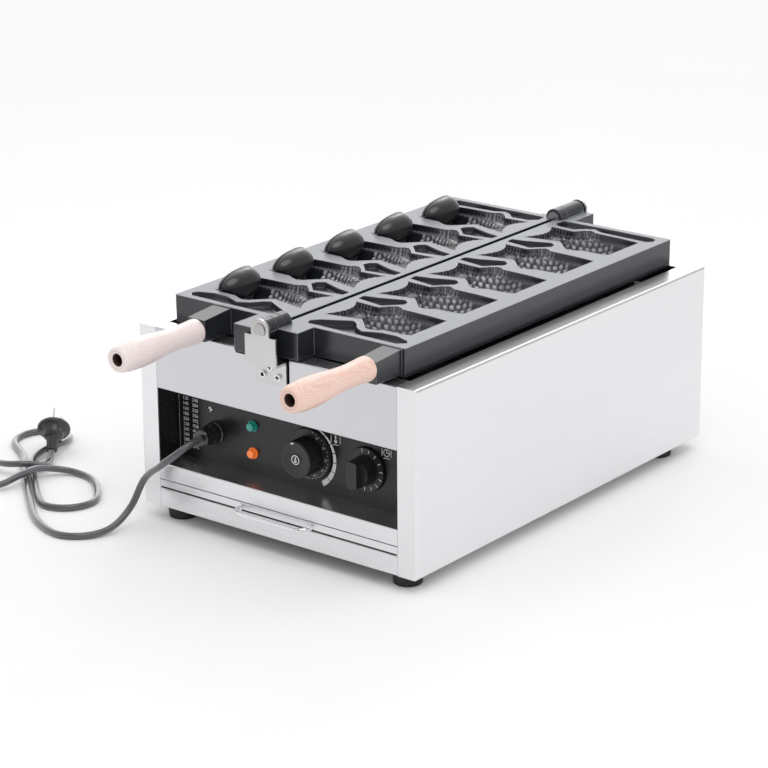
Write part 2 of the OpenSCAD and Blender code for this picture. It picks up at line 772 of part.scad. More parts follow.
module left_plate() {
    color([0.2, 0.2, 0.21]) place() mirror([1, 0, 0]) difference() {
        union() {
            difference() {
                plate_casting(front_outer[0], rear_inner[1], left_boss_w, left_grip_x, left_grip_drop);
                knuckle_path(front_middle);
                knuckle_path(rear_outer);
            }
            knuckle(front_outer);
            knuckle(front_inner);
            knuckle(rear_inner);
        }
        pin_bores();
    }
}

// Outline over half of a core, as height and place across, with corners squarer in front than behind
function dome_points(front, back, rise) = [for (i = [0:18]) let (a = 10 * i, c = cos(a), s = sin(a),
    square = c > 0 ? 2.3 : 3.2, half = c > 0 ? back : front)
    [rise * pow(s, 2 / square), sign(c) * half * pow(abs(c), 2 / square)]];

// Mouth core: a dome across the head of a mould with a rim behind it, on a foot that fills the nose
module core_shape() {
    dome_front = head_r - mouth_gap;
    rim_half = head_r - rim_gap;
    rim_x = core_x + 1.5;
    rim_t = 3.5;
    intersection() {
        translate([core_x, fish_lift, 0]) rotate([-90, 0, 0])
            rotate_extrude() polygon(dome_points(dome_front, dome_front - 3, core_rise));
        translate([core_x - plate_w, -plate_w, -plate_w]) cube([plate_w + rim_x - core_x + rim_t / 2, 2 * plate_w, 2 * plate_w]);
    }
    along_x(rim_x, rim_x + rim_t) translate([fish_lift, 0])
        polygon([for (p = dome_points(rim_half, rim_half, core_rise + 0.5)) [p[1], p[0]]]);
    intersection() {
        translate([0, fish_lift, body_drop]) fish_body(-snug, core_x, head_x - snug);
        translate([core_x, -plate_w, -plate_t]) cube([plate_w, 2 * plate_w, plate_t]);
    }
}

module mouth_cores() {
    color([0.16, 0.16, 0.17]) place() mirror([1, 0, 0]) each_fish() core_shape();
}

// Turned wooden grip, from the boss outwards, with a stepped bore for its rod
module grip_shape(x, drop) {
    root = grip_root_d / 2;
    belly = grip_d / 2;
    steps = 14;
    function grip_r(t) = root + (belly - root) * pow(sin(90 * min(1, t / 0.72)), 1.6) - 1.2 * max(0, t - 0.72) / 0.28;
    translate([x, -boss_reach, parting_z - drop]) rotate([90, 0, 0]) difference() {
        rotate_extrude() polygon(concat([[0, 0], [root - 1.5, 0]],
            [for (i = [0:steps]) let (t = i / steps) [grip_r(t), 1.5 + t * (grip_l - 6)]],
            [[grip_r(1) - 1.2, grip_l - 1.6], [grip_r(1) - 4, grip_l], [0, grip_l]]));
        translate([0, 0, -cut]) cylinder(d = rod_d + 2 * snug, h = grip_l + 2 * cut);
        translate([0, 0, grip_l - 26]) cylinder(d = grip_bore, h = 27 + cut);
    }
}

module left_grip() {
    color([0.93, 0.78, 0.74]) place() grip_shape(-left_grip_x, left_grip_drop);
}

module right_grip() {
    color([0.93, 0.72, 0.6]) place() grip_shape(right_grip_x, right_grip_drop);
}

// Long bolt through a grip into its boss, with a socket in its head
module grip_bolt(x, drop) {
    head_l = 8;
    head_y = boss_reach + grip_l - 26;
    difference() {
        union() {
            rod_y(rod_d / 2, -head_y, plate_front - 6, x, parting_z - drop);
            rod_y(grip_bore / 2 - 0.5, -head_y - head_l, -head_y, x, parting_z - drop);
        }
        rod_y(3.5, -head_y - head_l - cut, -head_y - head_l + 5, x, parting_z - drop, $fn = 6);
    }
}

module left_grip_bolt() {
    color([0.55, 0.55, 0.57]) place() grip_bolt(-left_grip_x, left_grip_drop);
}

module right_grip_bolt() {
    color([0.55, 0.55, 0.57]) place() grip_bolt(right_grip_x, right_grip_drop);
}

// Tube heater: straight legs joined by round bends, with both ends at the front
module heater_shape() {
    r = heater_d / 2;
    bend = heater_pitch / 2;
    y0 = heater_front + bend;
    y1 = housing_d - heater_back - bend;
    translate([0, 0, heater_z]) {
        for (i = [0:heater_legs - 1]) {
            outer = i == 0 || i == heater_legs - 1;
            rod_y(r, outer ? heater_front - heater_d : y0, y1, heater_in + i * heater_pitch, 0);
        }
        for (i = [0:heater_legs - 2])
            translate([heater_in + (i + 0.5) * heater_pitch, i % 2 == 0 ? y1 : y0, 0])
                rotate([0, 0, i % 2 == 0 ? 0 : 180])
                    rotate_extrude(angle = 180) translate([bend, 0]) circle(r);
    }
}

module right_heater() {
    color([0.35, 0.36, 0.34]) place() heater_shape();
}

module left_heater() {
    color([0.35, 0.36, 0.34]) place() mirror([1, 0, 0]) heater_shape();
}

// Cross rails under the heaters, from one side panel to the other
module heater_rails() {
    rail_w = housing_w - 2 * sheet_t;
    color([0.7, 0.7, 0.72]) place() for (t = rail_places)
        translate([0, housing_d * t, 0]) {
            translate([-rail_w / 2, 0, rail_top - rail_t]) cube([rail_w, rail_h, rail_t]);
            translate([-rail_w / 2, 0, rail_top - rail_h]) cube([rail_w, rail_t, rail_h - rail_t / 2]);
            for (s = [-1, 1]) translate([s * (rail_w / 2 - rail_t / 2) - rail_t / 2, 0, rail_top - rail_h])
                cube([rail_t, rail_h, rail_h - rail_t / 2]);
        }
}

// Ceramic beads and studs on the heaters' ends
module heater_terminals() {
    ends = [heater_in, heater_in + (heater_legs - 1) * heater_pitch];
    color([0.9, 0.88, 0.82]) place() for (s = [-1, 1], x = ends) {
        rod_y(0.7 * heater_d, heater_front - 2.25 * heater_d, heater_front - heater_d, s * x, heater_z);
        rod_y(0.23 * heater_d, heater_front - 3.25 * heater_d, heater_front - 2 * heater_d, s * x, heater_z);
    }
}

// Thermostat bulb on the rails, with its thin tube down to the thermostat
module thermostat_bulb() {
    bulb_d = 7;
    bulb_l = 90;
    tube_d = 2.4;
    bulb_z = rail_top + bulb_d / 2;
    bulb_y = housing_d * rail_places[1] + rail_h / 2 - bulb_l / 2;
    body_top = knob_z + thermostat_size[2] / 2;
    down_x = temp_x + 16;
    down_y = recess_depth + 24;
    color([0.75, 0.5, 0.35]) place() {
        rod_y(bulb_d / 2, bulb_y, bulb_y + bulb_l, sense_x, bulb_z);
        thin_tube([[sense_x, bulb_y, bulb_z], [sense_x, sense_y, bulb_z], [sense_x, sense_y, body_top + 26],
            [down_x, down_y, body_top + 12], [down_x, down_y, body_top]], tube_d);
    }
}

// Round wire through a few points, with a ball at each bend
module thin_tube(path, d) {
    for (i = [0:len(path) - 2]) {
        v = path[i + 1] - path[i];
        l = norm(v);
        translate(path[i]) rotate([0, acos(v[2] / l), atan2(v[1], v[0])]) cylinder(d = d, h = l);
        if (i > 0) translate(path[i]) sphere(d = 1.15 * d);
    }
}

// Switch body behind the panel with a collar and a round shaft
module switch_body(x, size, shaft_end) {
    back = recess_depth + panel_t;
    translate([x - size[0] / 2, back, knob_z - size[2] / 2]) cube(size);
    rod_y(shaft_d / 2, shaft_end, back + cut, x, knob_z);
    rod_y(shaft_d / 2 + 0.8, recess_depth - 0.4, back + cut, x, knob_z);
}

module thermostat_body() {
    color([0.85, 0.83, 0.76]) place() switch_body(temp_x, thermostat_size, temp_face + 8);
}

module timer_body() {
    color([0.2, 0.2, 0.22]) place() switch_body(timer_x, timer_size, timer_face + 8);
}

// Temperature knob: a numbered skirt, a ribbed grip and a dished face
module temperature_knob() {
    skirt_r = 30;
    face_r = 21;
    ribs = 36;
    color([0.12, 0.12, 0.13]) place() translate([temp_x, skirt_back, knob_z]) rotate([90, 0, 0]) difference() {
        union() {
            cylinder(r1 = skirt_r, r2 = skirt_r - 0.8, h = skirt_t);
            rotate_extrude() polygon([[0, 0], [face_r - 0.6, 0], [face_r - 0.6, skirt_back - temp_face - 3],
                [face_r, skirt_back - temp_face - 2.4], [face_r, skirt_back - temp_face - 0.8],
                [face_r - 1, skirt_back - temp_face], [face_r - 3, skirt_back - temp_face],
                [7.5, skirt_back - temp_face - 2], [6.2, skirt_back - temp_face - 0.8],
                [0, skirt_back - temp_face - 0.8]]);
            for (i = [0:ribs - 1]) rotate(i * 360 / ribs)
                translate([face_r - 0.8, -0.5, skirt_t - 0.5]) cube([0.8, 1, skirt_back - temp_face - skirt_t - 2.4]);
        }
        translate([0, 0, -cut]) cylinder(r = shaft_d / 2 + shaft_fit, h = skirt_back - temp_face - 5 + cut);
    }
}

// Timer knob: a numbered skirt with a bar across a round hub
module timer_knob() {
    skirt_r = 25.5;
    hub_r = 17;
    bar_w = 14;
    height = skirt_back - timer_face;
    color([0.12, 0.12, 0.13]) place() translate([timer_x, skirt_back, knob_z]) rotate([90, 0, 0]) difference() {
        union() {
            cylinder(r1 = skirt_r, r2 = skirt_r - 0.8, h = skirt_t);
            cylinder(r1 = hub_r, r2 = hub_r - 2, h = height - 9);
            intersection() {
                translate([-bar_w / 2, -skirt_r, 0]) cube([bar_w, 2 * skirt_r, height]);
                cylinder(r1 = hub_r, r2 = hub_r - 1.6, h = height);
            }
        }
        translate([0, 0, -cut]) cylinder(r = shaft_d / 2 + shaft_fit, h = height - 6 + cut);
    }
}

// Signal lamp: a faceted lens in front and a round body through the panel
module lamp(z) {
    rod_y(lamp_d / 2, recess_depth - 2, recess_depth, lamp_x, z);
    translate([lamp_x, recess_depth - 2, z]) rotate([90, 30, 0]) cylinder(d1 = lamp_d - 0.6, d2 = lamp_d - 3.4, h = 4.5, $fn = 8);
    rod_y(lamp_hole / 2, recess_depth - cut, recess_depth + 18, lamp_x, z);
    rod_y(lamp_hole / 2 + 2, recess_depth + panel_t, recess_depth + panel_t + 2.5, lamp_x, z);
}

module green_lamp() {
    color([0.05, 0.5, 0.45]) place() lamp(lamp_levels[1]);
}

module orange_lamp() {
    color([1, 0.45, 0.1]) place() lamp(lamp_levels[0]);
}

module panel_screw() {
    color([0.85, 0.85, 0.86]) place() translate([screw_x, recess_depth, base_z + screw_level]) difference() {
        union() {
            rod_y(screw_d / 2, 0, 8);
            rotate([90, 0, 0]) rotate_extrude() polygon([[0, 0], [4, 0], [3.6, 1.2], [2.2, 2.1], [0, 2.4]]);
        }
        translate([-2.2, -3.4, -0.45]) cube([4.4, 1.9, 0.9]);
        translate([-0.45, -3.4, -2.2]) cube([0.9, 1.9, 4.4]);
    }
}

// Cable gland: a flanged body with a tapered cap and a ring round the lead
module cable_gland() {
    exit_y = cord_route[0][1];
    length = recess_depth - exit_y;
    color([0.06, 0.06, 0.06]) place() translate([gland_x, recess_depth, gland_z]) {
        rotate([90, 0, 0]) rotate_extrude() polygon([[0, 0], [13, 0], [13, 4], [12, 5], [11.6, 12], [11.2, 13],
            [9.6, length - 6], [10.4, length - 5.4], [10.4, length - 1.4], [9.4, length], [0, length]]);
        rod_y(gland_hole / 2, -cut, panel_t + 10);
    }
}

module gland_nut() {
    back = recess_depth + panel_t;
    color([0.1, 0.1, 0.1]) place() difference() {
        rod_y(13, back, back + 5, gland_x, gland_z, $fn = 6);
        rod_y(gland_hole / 2 + snug, back - cut, back + 5 + cut, gland_x, gland_z);
    }
}

// Terminal block on the control shelf, with three pairs of screw wells
module terminal_block() {
    size = [48, 22, 18];
    back = recess_depth + panel_t;
    color([0.9, 0.9, 0.86]) place() translate([gland_x - size[0] / 2, back + 30, base_z + opening_bottom]) difference() {
        cube(size);
        for (i = [0:2], y = [6, 16]) translate([8 + i * 16, y, size[2] - 8]) cylinder(d = 5, h = 9);
    }
}

// Smooth curve through a list of points
function route_point(p, i, t) =
    let (a = i > 0 ? p[i - 1] : 2 * p[0] - p[1], b = p[i], c = p[i + 1],
        d = i + 2 < len(p) ? p[i + 2] : 2 * p[i + 1] - p[i])
    0.5 * (2 * b + (c - a) * t + (2 * a - 5 * b + 4 * c - d) * t * t + (3 * b - 3 * c + d - a) * t * t * t);
function route(p, n) = concat([for (i = [0:len(p) - 2], k = [0:n - 1]) route_point(p, i, k / n)], [p[len(p) - 1]]);
function unit(v) = v / norm(v);
function heading(p, i) = unit(p[min(i + 1, len(p) - 1)] - p[max(i - 1, 0)]);
plug_axis = [cos(plug_heading) * cos(plug_tilt), sin(plug_heading) * cos(plug_tilt), sin(plug_tilt)];

// Tube swept along a list of points, with its first and last rings square to what they meet
module tube(p, d, first, last) {
    n = len(p);
    dirs = [for (i = [0:n - 1]) i == 0 ? first : i == n - 1 ? last : heading(p, i)];
    points = [for (i = [0:n - 1]) let (side = unit(cross(dirs[i], [0, 0, 1])), up = cross(side, dirs[i]))
        for (k = [0:cord_sides - 1]) let (a = 360 * (k + 0.5) / cord_sides)
            p[i] + cord_corner * d / 2 * (side * cos(a) + up * sin(a))];
    walls = [for (i = [0:n - 2], k = [0:cord_sides - 1]) let (m = (k + 1) % cord_sides, j = i * cord_sides)
        each [[j + k, j + m, j + cord_sides + m], [j + k, j + cord_sides + m, j + cord_sides + k]]];
    ends = [[for (k = [cord_sides - 1:-1:0]) k], [for (k = [0:cord_sides - 1]) (n - 1) * cord_sides + k]];
    polyhedron(points, concat(walls, ends));
}

module power_cord() {
    color([0.15, 0.15, 0.16]) place() tube(route(cord_route, cord_steps), cord_d, [0, -1, 0], plug_axis);
}

// Tie round the two neighbouring runs of the lead
module cord_tie() {
    tie_t = 1;
    tie_l = 6;
    slack = 0.5;
    spacing = 9.1;
    r = cord_corner * cord_d / 2 + slack;
    color([0.05, 0.05, 0.05]) place() translate([-409, 26.8, 5.9]) rotate([90, 0, 41]) linear_extrude(tie_l, center = true)
        difference() {
            loop_outline(r + tie_t, spacing / 2);
            loop_outline(r, spacing / 2);
        }
}

// Outline with two round ends whose centres lie apart along X
module loop_outline(r, spacing) {
    for (s = [-1, 1]) translate([s * spacing, 0]) circle(r);
    square([2 * spacing, 2 * r], center = true);
}

// Turns a shape that stands on its tail so that it lies along the plug's axis
module at_plug() {
    translate(plug_end) rotate([0, 90 - plug_tilt, plug_heading]) children();
}

module plug_body() {
    neck = cord_d / 2 + 2.5;
    color([0.12, 0.12, 0.13]) place() at_plug() rotate_extrude() polygon([[0, 0], [neck - 1, 0], [neck, 2],
        [neck + 0.6, 6], [neck - 0.2, 7], [neck + 0.9, 10], [neck + 0.1, 11], [neck + 1.2, 14], [neck + 0.6, 15],
        [neck + 5, 19], [neck + 7, plug_l - 7], [neck + 7, plug_l - 5], [plug_d / 2 - 1, plug_l - 5],
        [plug_d / 2, plug_l - 4], [plug_d / 2, plug_l - 1], [plug_d / 2 - 1, plug_l], [0, plug_l]]);
}

// Three flat pins: two leaning live pins and an upright earth pin
module plug_pins() {
    pin_w = 6.3;
    pin_t = 1.6;
    color([0.85, 0.85, 0.86]) place() at_plug() translate([0, 0, plug_l]) {
        for (s = [-1, 1]) translate([4, s * 8, 0]) rotate(s * 30)
            translate([-pin_w / 2, -pin_t / 2, 0]) cube([pin_w, pin_t, prong_l]);
        translate([-10, 0, 0]) translate([-pin_w / 2, -pin_t / 2, 0]) cube([pin_w, pin_t, prong_l + 2]);
    }
}

left_side_panel();
right_side_panel();
front_panel();
rear_panel();
base_pan();
front_sill();
control_shelf();
control_panel();
partition();
tray_runners();
drip_tray();
tray_handle();
rubber_feet();
foot_screws();
front_hinge_bracket();
rear_hinge_bracket();
bracket_screws();
front_hinge_pin();
rear_hinge_pin();
left_plate();
right_plate();
mouth_cores();
left_grip();
right_grip();
left_grip_bolt();
right_grip_bolt();
left_heater();
right_heater();
heater_rails();
heater_terminals();
thermostat_bulb();
thermostat_body();
temperature_knob();
timer_body();
timer_knob();
green_lamp();
orange_lamp();
panel_screw();
cable_gland();
gland_nut();
terminal_block();
power_cord();
cord_tie();
plug_body();
plug_pins();
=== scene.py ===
"""Taiyaki maker: finishes and fine detail round the solid parts of a countertop cooker.

Lengths in this file are millimetres, measured across from the middle, back from the housing's front
face and up from the floor, until a mesh is made; the meshes themselves are in metres. A hair is the gap
that keeps two faces from lying in one plane.
"""

import json
import logging
import math
from dataclasses import dataclass, field
from enum import Enum
from functools import cache

import bmesh
import bpy
import numpy as np
from mathutils import Matrix


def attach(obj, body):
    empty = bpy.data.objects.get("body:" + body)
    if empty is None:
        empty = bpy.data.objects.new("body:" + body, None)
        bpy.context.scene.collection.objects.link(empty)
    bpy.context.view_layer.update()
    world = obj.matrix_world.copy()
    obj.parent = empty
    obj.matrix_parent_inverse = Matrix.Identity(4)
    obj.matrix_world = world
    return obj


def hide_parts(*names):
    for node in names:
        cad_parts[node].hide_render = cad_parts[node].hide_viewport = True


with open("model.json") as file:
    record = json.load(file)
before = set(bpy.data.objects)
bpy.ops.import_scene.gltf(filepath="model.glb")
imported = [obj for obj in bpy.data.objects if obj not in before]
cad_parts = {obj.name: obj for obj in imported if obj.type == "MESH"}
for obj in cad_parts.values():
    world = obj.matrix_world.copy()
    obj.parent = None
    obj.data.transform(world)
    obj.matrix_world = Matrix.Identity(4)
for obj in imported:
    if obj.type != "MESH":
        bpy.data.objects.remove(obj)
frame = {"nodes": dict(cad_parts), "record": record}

log = logging.getLogger("taiyaki_maker")
logging.basicConfig(level=logging.INFO, format="%(name)s: %(message)s")

MM = 0.001
FRONT = -0.2205
HAIR = 0.02
Color = tuple[float, float, float]
Point = tuple[float, float, float]
Flat = tuple[float, float]
Array = np.ndarray
Socket = bpy.types.NodeSocket
Piece = bpy.types.Object


class Axis(Enum):
    """Direction that a grain or a brush line runs in."""

    X = 0
    Y = 1
    Z = 2


class Side(Enum):
    """Side of the hinge that a mould plate lies on."""

    LEFT = -1
    RIGHT = 1


# Lines and surfaces


def place(points: Array) -> Array:
    """Turns points from this file's millimetres into the frame's metres.

    Args:
        points: array whose last axis holds x, y and z in millimetres.

    Returns:
        A new array of the same shape, scaled to metres and moved back by the front face's place.
    """
    moved = np.asarray(points, float) * MM
    moved[..., 1] += FRONT
    return moved


def smoothstep(value: Array, low: Array | float, high: Array | float) -> Array:
    """Share that rises from 0 at low to 1 at high, as 3 t squared less 2 t cubed."""
    t = np.clip((value - low) / (high - low), 0, 1)
    return t * t * (3 - 2 * t)


def plateau(value: Array, limits: tuple[float, ...]) -> Array:
    """Share that rises from 0 to 1 between the first two limits and falls again between the last two."""
    return smoothstep(value, limits[0], limits[1]) * (1 - smoothstep(value, limits[2], limits[3]))


def around(centre: Flat, radius: float, degrees: float) -> Flat:
    """Returns the point at a radius and an angle from a centre, counted from the right and turning up."""
    angle = math.radians(degrees)
    return centre[0] + radius * math.cos(angle), centre[1] + radius * math.sin(angle)


def level(flat: Array, height: float) -> Array:
    """Returns points with one more coordinate, which is the same for all of them."""
    return np.column_stack([flat, np.full(len(flat), height)])


def reach_of(line: Array) -> Array:
    """Returns the distance along a line at each of its points."""
    return np.r_[0, np.cumsum(np.linalg.norm(np.diff(line, axis=0), axis=1))]


def evened(values: Array, times: int) -> Array:
    """Smooths values round a closed line: each pass makes a value half its own and a quarter of each of its
    neighbours'.

    Args:
        values: array with one row for each point of the line.
        times: number of passes.

    Returns:
        A new array of the same shape.
    """
    for _ in range(times):
        values = 0.25 * np.roll(values, 1, 0) + 0.5 * values + 0.25 * np.roll(values, -1, 0)
    return values


def even_steps(corners: Array, step: float, times: int) -> Array:
    """Walks round a closed outline in even steps and rounds its corners by smoothing.

    Args:
        corners: (n, 2) array of corners.
        step: length of a step, or a little more.
        times: number of smoothing passes.

    Returns:
        (m, 2) array that doesn't repeat its first point.
    """
    closed = np.vstack([corners, corners[:1]]).astype(float)
    reach = reach_of(closed)
    s = np.linspace(0, reach[-1], int(reach[-1] / step), endpoint=False)
    return evened(np.stack([np.interp(s, reach, closed[:, 0]), np.interp(s, reach, closed[:, 1])], 1), times)


def inward_of(line: Array, times: int = 0) -> Array:
    """Directions into the inside of a closed line, each square to the chord between a point's neighbours.

    Args:
        line: (n, 2) array that doesn't repeat its first point.
        times: number of smoothing passes over the directions.

    Returns:
        (n, 2) array of unit vectors, which smoothing shortens at corners.
    """
    after = np.roll(line, -1, 0)
    step = after - np.roll(line, 1, 0)
    inward = np.stack([-step[:, 1], step[:, 0]], 1) / np.linalg.norm(step, axis=1)[:, None]
    clockwise = np.sum(line[:, 0] * after[:, 1] - after[:, 0] * line[:, 1]) < 0
    return evened(-inward if clockwise else inward, times)


def clip_right(corners: Array, limit: float) -> Array:
    """Cuts a closed outline at x = limit and keeps the part to the left.

    Args:
        corners: (n, 2) array of corners.
        limit: where it is cut.

    Returns:
        The corners that are left, with the two cut points among them.
    """
    kept = []
    for here, after in zip(corners, np.roll(corners, -1, 0)):
        if here[0] <= limit:
            kept.append(here)
        if (here[0] <= limit) != (after[0] <= limit):
            kept.append(here + (after - here) * (limit - here[0]) / (after[0] - here[0]))
    return np.array(kept)


def smooth_line(points: Array, steps: int) -> Array:
    """Catmull-Rom curve through points: each stretch is the cubic whose slope at a point is half the
    difference of that point's neighbours.

    Args:
        points: (n, 3) array.
        steps: number of short pieces in each stretch.

    Returns:
        ((n - 1) * steps + 1, 3) array that goes through every point.
    """
    p = np.asarray(points, float)
    before = np.vstack([2 * p[:1] - p[1:2], p[:-2]])
    after = np.vstack([p[2:], 2 * p[-1:] - p[-2:-1]])
    a, b, c, d = before[:, None], p[:-1, None], p[1:, None], after[:, None]
    t = (np.arange(steps) / steps)[None, :, None]
    body = 0.5 * (2 * b + (c - a) * t + (2 * a - 5 * b + 4 * c - d) * t**2 + (3 * b - 3 * c + d - a) * t**3)
    return np.vstack([body.reshape(-1, 3), p[-1:]])


def turned(profile: Array, sides: int, origin: Array, axis: Array) -> Array:
    """Grid of a profile turned about an axis: point k of ring i lies at angle 2 pi k / sides.

    Args:
        profile: (n, 2) array of radius and distance along the axis.
        sides: number of points round the axis.
        origin: where the axis starts.
        axis: direction of the axis.

    Returns:
        (n, sides, 3) array.
    """
    w = np.asarray(axis, float) / np.linalg.norm(axis)
    u = np.cross(w, [0.0, 0.0, 1.0])
    u = u / np.linalg.norm(u)
    v = np.cross(w, u)
    a = np.linspace(0, 2 * np.pi, sides, endpoint=False)
    ring = np.cos(a)[:, None] * u + np.sin(a)[:, None] * v
    radius, along = np.asarray(profile, float).T
    return np.asarray(origin, float) + radius[:, None, None] * ring + (along[:, None] * w)[:, None, :]


def facing(heading: float, height: float, roll: float = 0.0) -> Array:
    """Directions of something that looks at the middle: its back points away at a heading, turned from the
    front to the right, and at a height above the floor.

    Args:
        heading: degrees round the upright.
        height: degrees above the floor.
        roll: degrees about its own line of sight.

    Returns:
        (3, 3) array with its right, its up and its back as rows.
    """
    h, t, r = (math.radians(v) for v in (heading, height, roll))
    back = np.array([math.sin(h) * math.cos(t), -math.cos(h) * math.cos(t), math.sin(t)])
    right = np.array([math.cos(h), math.sin(h), 0.0])
    up = np.cross(back, right)
    return np.array([math.cos(r) * right + math.sin(r) * up, math.cos(r) * up - math.sin(r) * right, back])


# Meshes


def bring(name: str, data: bpy.types.ID) -> Piece:
    """Makes an object and links it to the scene.

    Args:
        name: name of the object.
        data: its mesh, curve, lamp or camera.

    Returns:
        The new object, at the origin.
    """
    made = bpy.data.objects.new(name, data)
    bpy.context.scene.collection.objects.link(made)
    return made


def aim(item: Piece, axes: Array, at: Array) -> None:
    """Turns an object to three directions and puts it at a place.

    Args:
        item: the object.
        axes: its right, its up and its back as rows.
        at: the place, in metres.
    """
    matrix = np.eye(4)
    matrix[:3, :3], matrix[:3, 3] = axes.T, at
    item.matrix_world = Matrix(matrix.tolist())


class Shape:
    """Vertices and faces gathered from several surfaces before they become one mesh."""

    def __init__(self) -> None:
        """Starts with no points and no faces."""
        self.points: list[Array] = []
        self.wear: list[Array] = []
        self.faces: list[tuple[int, ...]] = []
        self.count = 0

    def add(self, points: Array, faces: list[tuple[int, ...]], wear: Array | None = None) -> None:
        """Adds one surface.

        Args:
            points: (n, 3) array in millimetres.
            faces: index tuples into those points.
            wear: how far each point is painted light, from 0 to 1, partly wear and partly painted highlight;
                none of them by default.
        """
        self.points.append(np.asarray(points, float).reshape(-1, 3))
        n = len(self.points[-1])
        self.wear.append(np.zeros(n) if wear is None else np.asarray(wear, float).ravel())
        self.faces += [tuple(i + self.count for i in f) for f in faces]
        self.count += n

    def add_grid(self, grid: Array, wrap_u: bool = False, wrap_v: bool = False,
                 wear: Array | None = None) -> None:
        """Adds a grid of points as quads, face k of row i joining points (i, k) to (i + 1, k + 1).

        Args:
            grid: (rows, columns, 3) array of points.
            wrap_u: whether the last row joins the first.
            wrap_v: whether the last column joins the first.
            wear: (rows, columns) array of how far each point is painted light, partly wear and partly painted
                highlight.
        """
        rows, cols = grid.shape[:2]
        i = np.arange(rows if wrap_u else rows - 1)[:, None]
        k = np.arange(cols if wrap_v else cols - 1)[None, :]
        here, after = i * cols, ((i + 1) % rows) * cols
        beside = (k + 1) % cols
        quads = np.stack([here + k, here + beside, after + beside, after + k], -1).reshape(-1, 4)
        self.add(grid, [tuple(q) for q in quads.tolist()], wear)

    def add_bar(self, grid: Array, turned_in: bool = False) -> None:
        """Adds a closed section that is carried along, with a flat face at each end.

        Args:
            grid: (rows, points round, 3) array.
            turned_in: whether the section runs the other way round, so that the end faces turn over.
        """
        n = grid.shape[1]
        first, last = list(range(n)), list(range(n, 2 * n))
        (first if turned_in else last).reverse()
        self.add_grid(grid, wrap_v=True)
        self.add(np.vstack([grid[0], grid[-1]]), [tuple(first), tuple(last)])

    def mesh(self, name: str, smooth: bool = True, merge: float = 0.0) -> Piece:
        """Makes one Blender object of everything that was added.

        Args:
            name: name of the piece.
            smooth: whether its faces are shaded smooth.
            merge: distance in millimetres under which points become one, which closes seams and poles.

        Returns:
            The new object, linked to the scene, at the origin.
        """
        data = bpy.data.meshes.new(name)
        data.from_pydata(place(np.concatenate(self.points)).tolist(), [], self.faces)
        # The painted highlight of the linings goes into a point attribute.
        wear = np.concatenate(self.wear)
        if wear.any():
            data.attributes.new("wear", "FLOAT", "POINT").data.foreach_set("value", wear)
        if merge:
            bm = bmesh.new()
            bm.from_mesh(data)
            bmesh.ops.remove_doubles(bm, verts=bm.verts, dist=merge * MM)
            bmesh.ops.recalc_face_normals(bm, faces=bm.faces)
            bm.to_mesh(data)
            bm.free()
        data.polygons.foreach_set("use_smooth", np.full(len(data.polygons), smooth))
        data.update()
        return bring(name, data)


# Shader graphs


class Graph:
    """Short way to place and join the nodes of one node tree."""

    def __init__(self, tree: bpy.types.NodeTree) -> None:
        """Keeps the tree that the nodes go into."""
        self.tree = tree

    def node(self, kind: str, inputs: dict | None = None, **settings: object) -> bpy.types.Node:
        """Adds a node.

        Args:
            kind: Blender's name of the node type.
            inputs: socket name or number to another node's output or to a value, a colour as its three
                numbers.
            settings: properties of the node.

        Returns:
            The new node.
        """
        made = self.tree.nodes.new(kind)
        for key, value in settings.items():
            setattr(made, key, value)
        for key, value in (inputs or {}).items():
            socket = made.inputs[key]
            if isinstance(value, Socket):
                self.tree.links.new(value, socket)
            else:
                socket.default_value = (*value, 1.0) if socket.type == "RGBA" else value
        return made

    def math(self, operation: str, a: object, b: object = 0.0, c: object = 0.0,
             clamp: bool = False) -> Socket:
        """Adds a Math node and returns its output."""
        made = self.node("ShaderNodeMath", {0: a, 1: b, 2: c}, operation=operation, use_clamp=clamp)
        return made.outputs[0]

    def mix(self, share: object, a: object, b: object, blend: str = "MIX") -> Socket:
        """Adds a colour Mix node and returns its output."""
        made = self.node("ShaderNodeMix", {0: share, 6: a, 7: b}, data_type="RGBA", blend_type=blend)
        return made.outputs[2]

    def shade(self, tone: object, share: Socket) -> Socket:
        """Multiplies all of a tone's parts by one share and returns the colour."""
        grey = self.node("ShaderNodeCombineColor", {0: share, 1: share, 2: share}).outputs[0]
        return self.mix(1.0, tone, grey, "MULTIPLY")

    def noise(self, vector: Socket, scale: object, detail: float) -> Socket:
        """Adds a Noise texture and returns its value."""
        made = self.node("ShaderNodeTexNoise", {"Vector": vector, "Scale": scale, "Detail": detail})
        return made.outputs[0]

    def scaled(self, value: Socket, given: Flat, wanted: Flat = (0.0, 1.0), **settings: object) -> Socket:
        """Takes a value from one range to another, held at its ends, and returns it."""
        ends = dict(zip(("From Min", "From Max", "To Min", "To Max"), (*given, *wanted)))
        return self.node("ShaderNodeMapRange", {"Value": value, **ends}, **settings).outputs[0]

    def toward(self, a: object, b: object) -> Socket:
        """Returns how far one direction runs along another, as their dot product."""
        return self.node("ShaderNodeVectorMath", {0: a, 1: b}, operation="DOT_PRODUCT").outputs["Value"]

    def bevel(self, radius: float, samples: int = 4) -> Socket:
        """Returns a normal that rounds the edges to a radius in metres."""
        return self.node("ShaderNodeBevel", {"Radius": radius}, samples=samples).outputs[0]


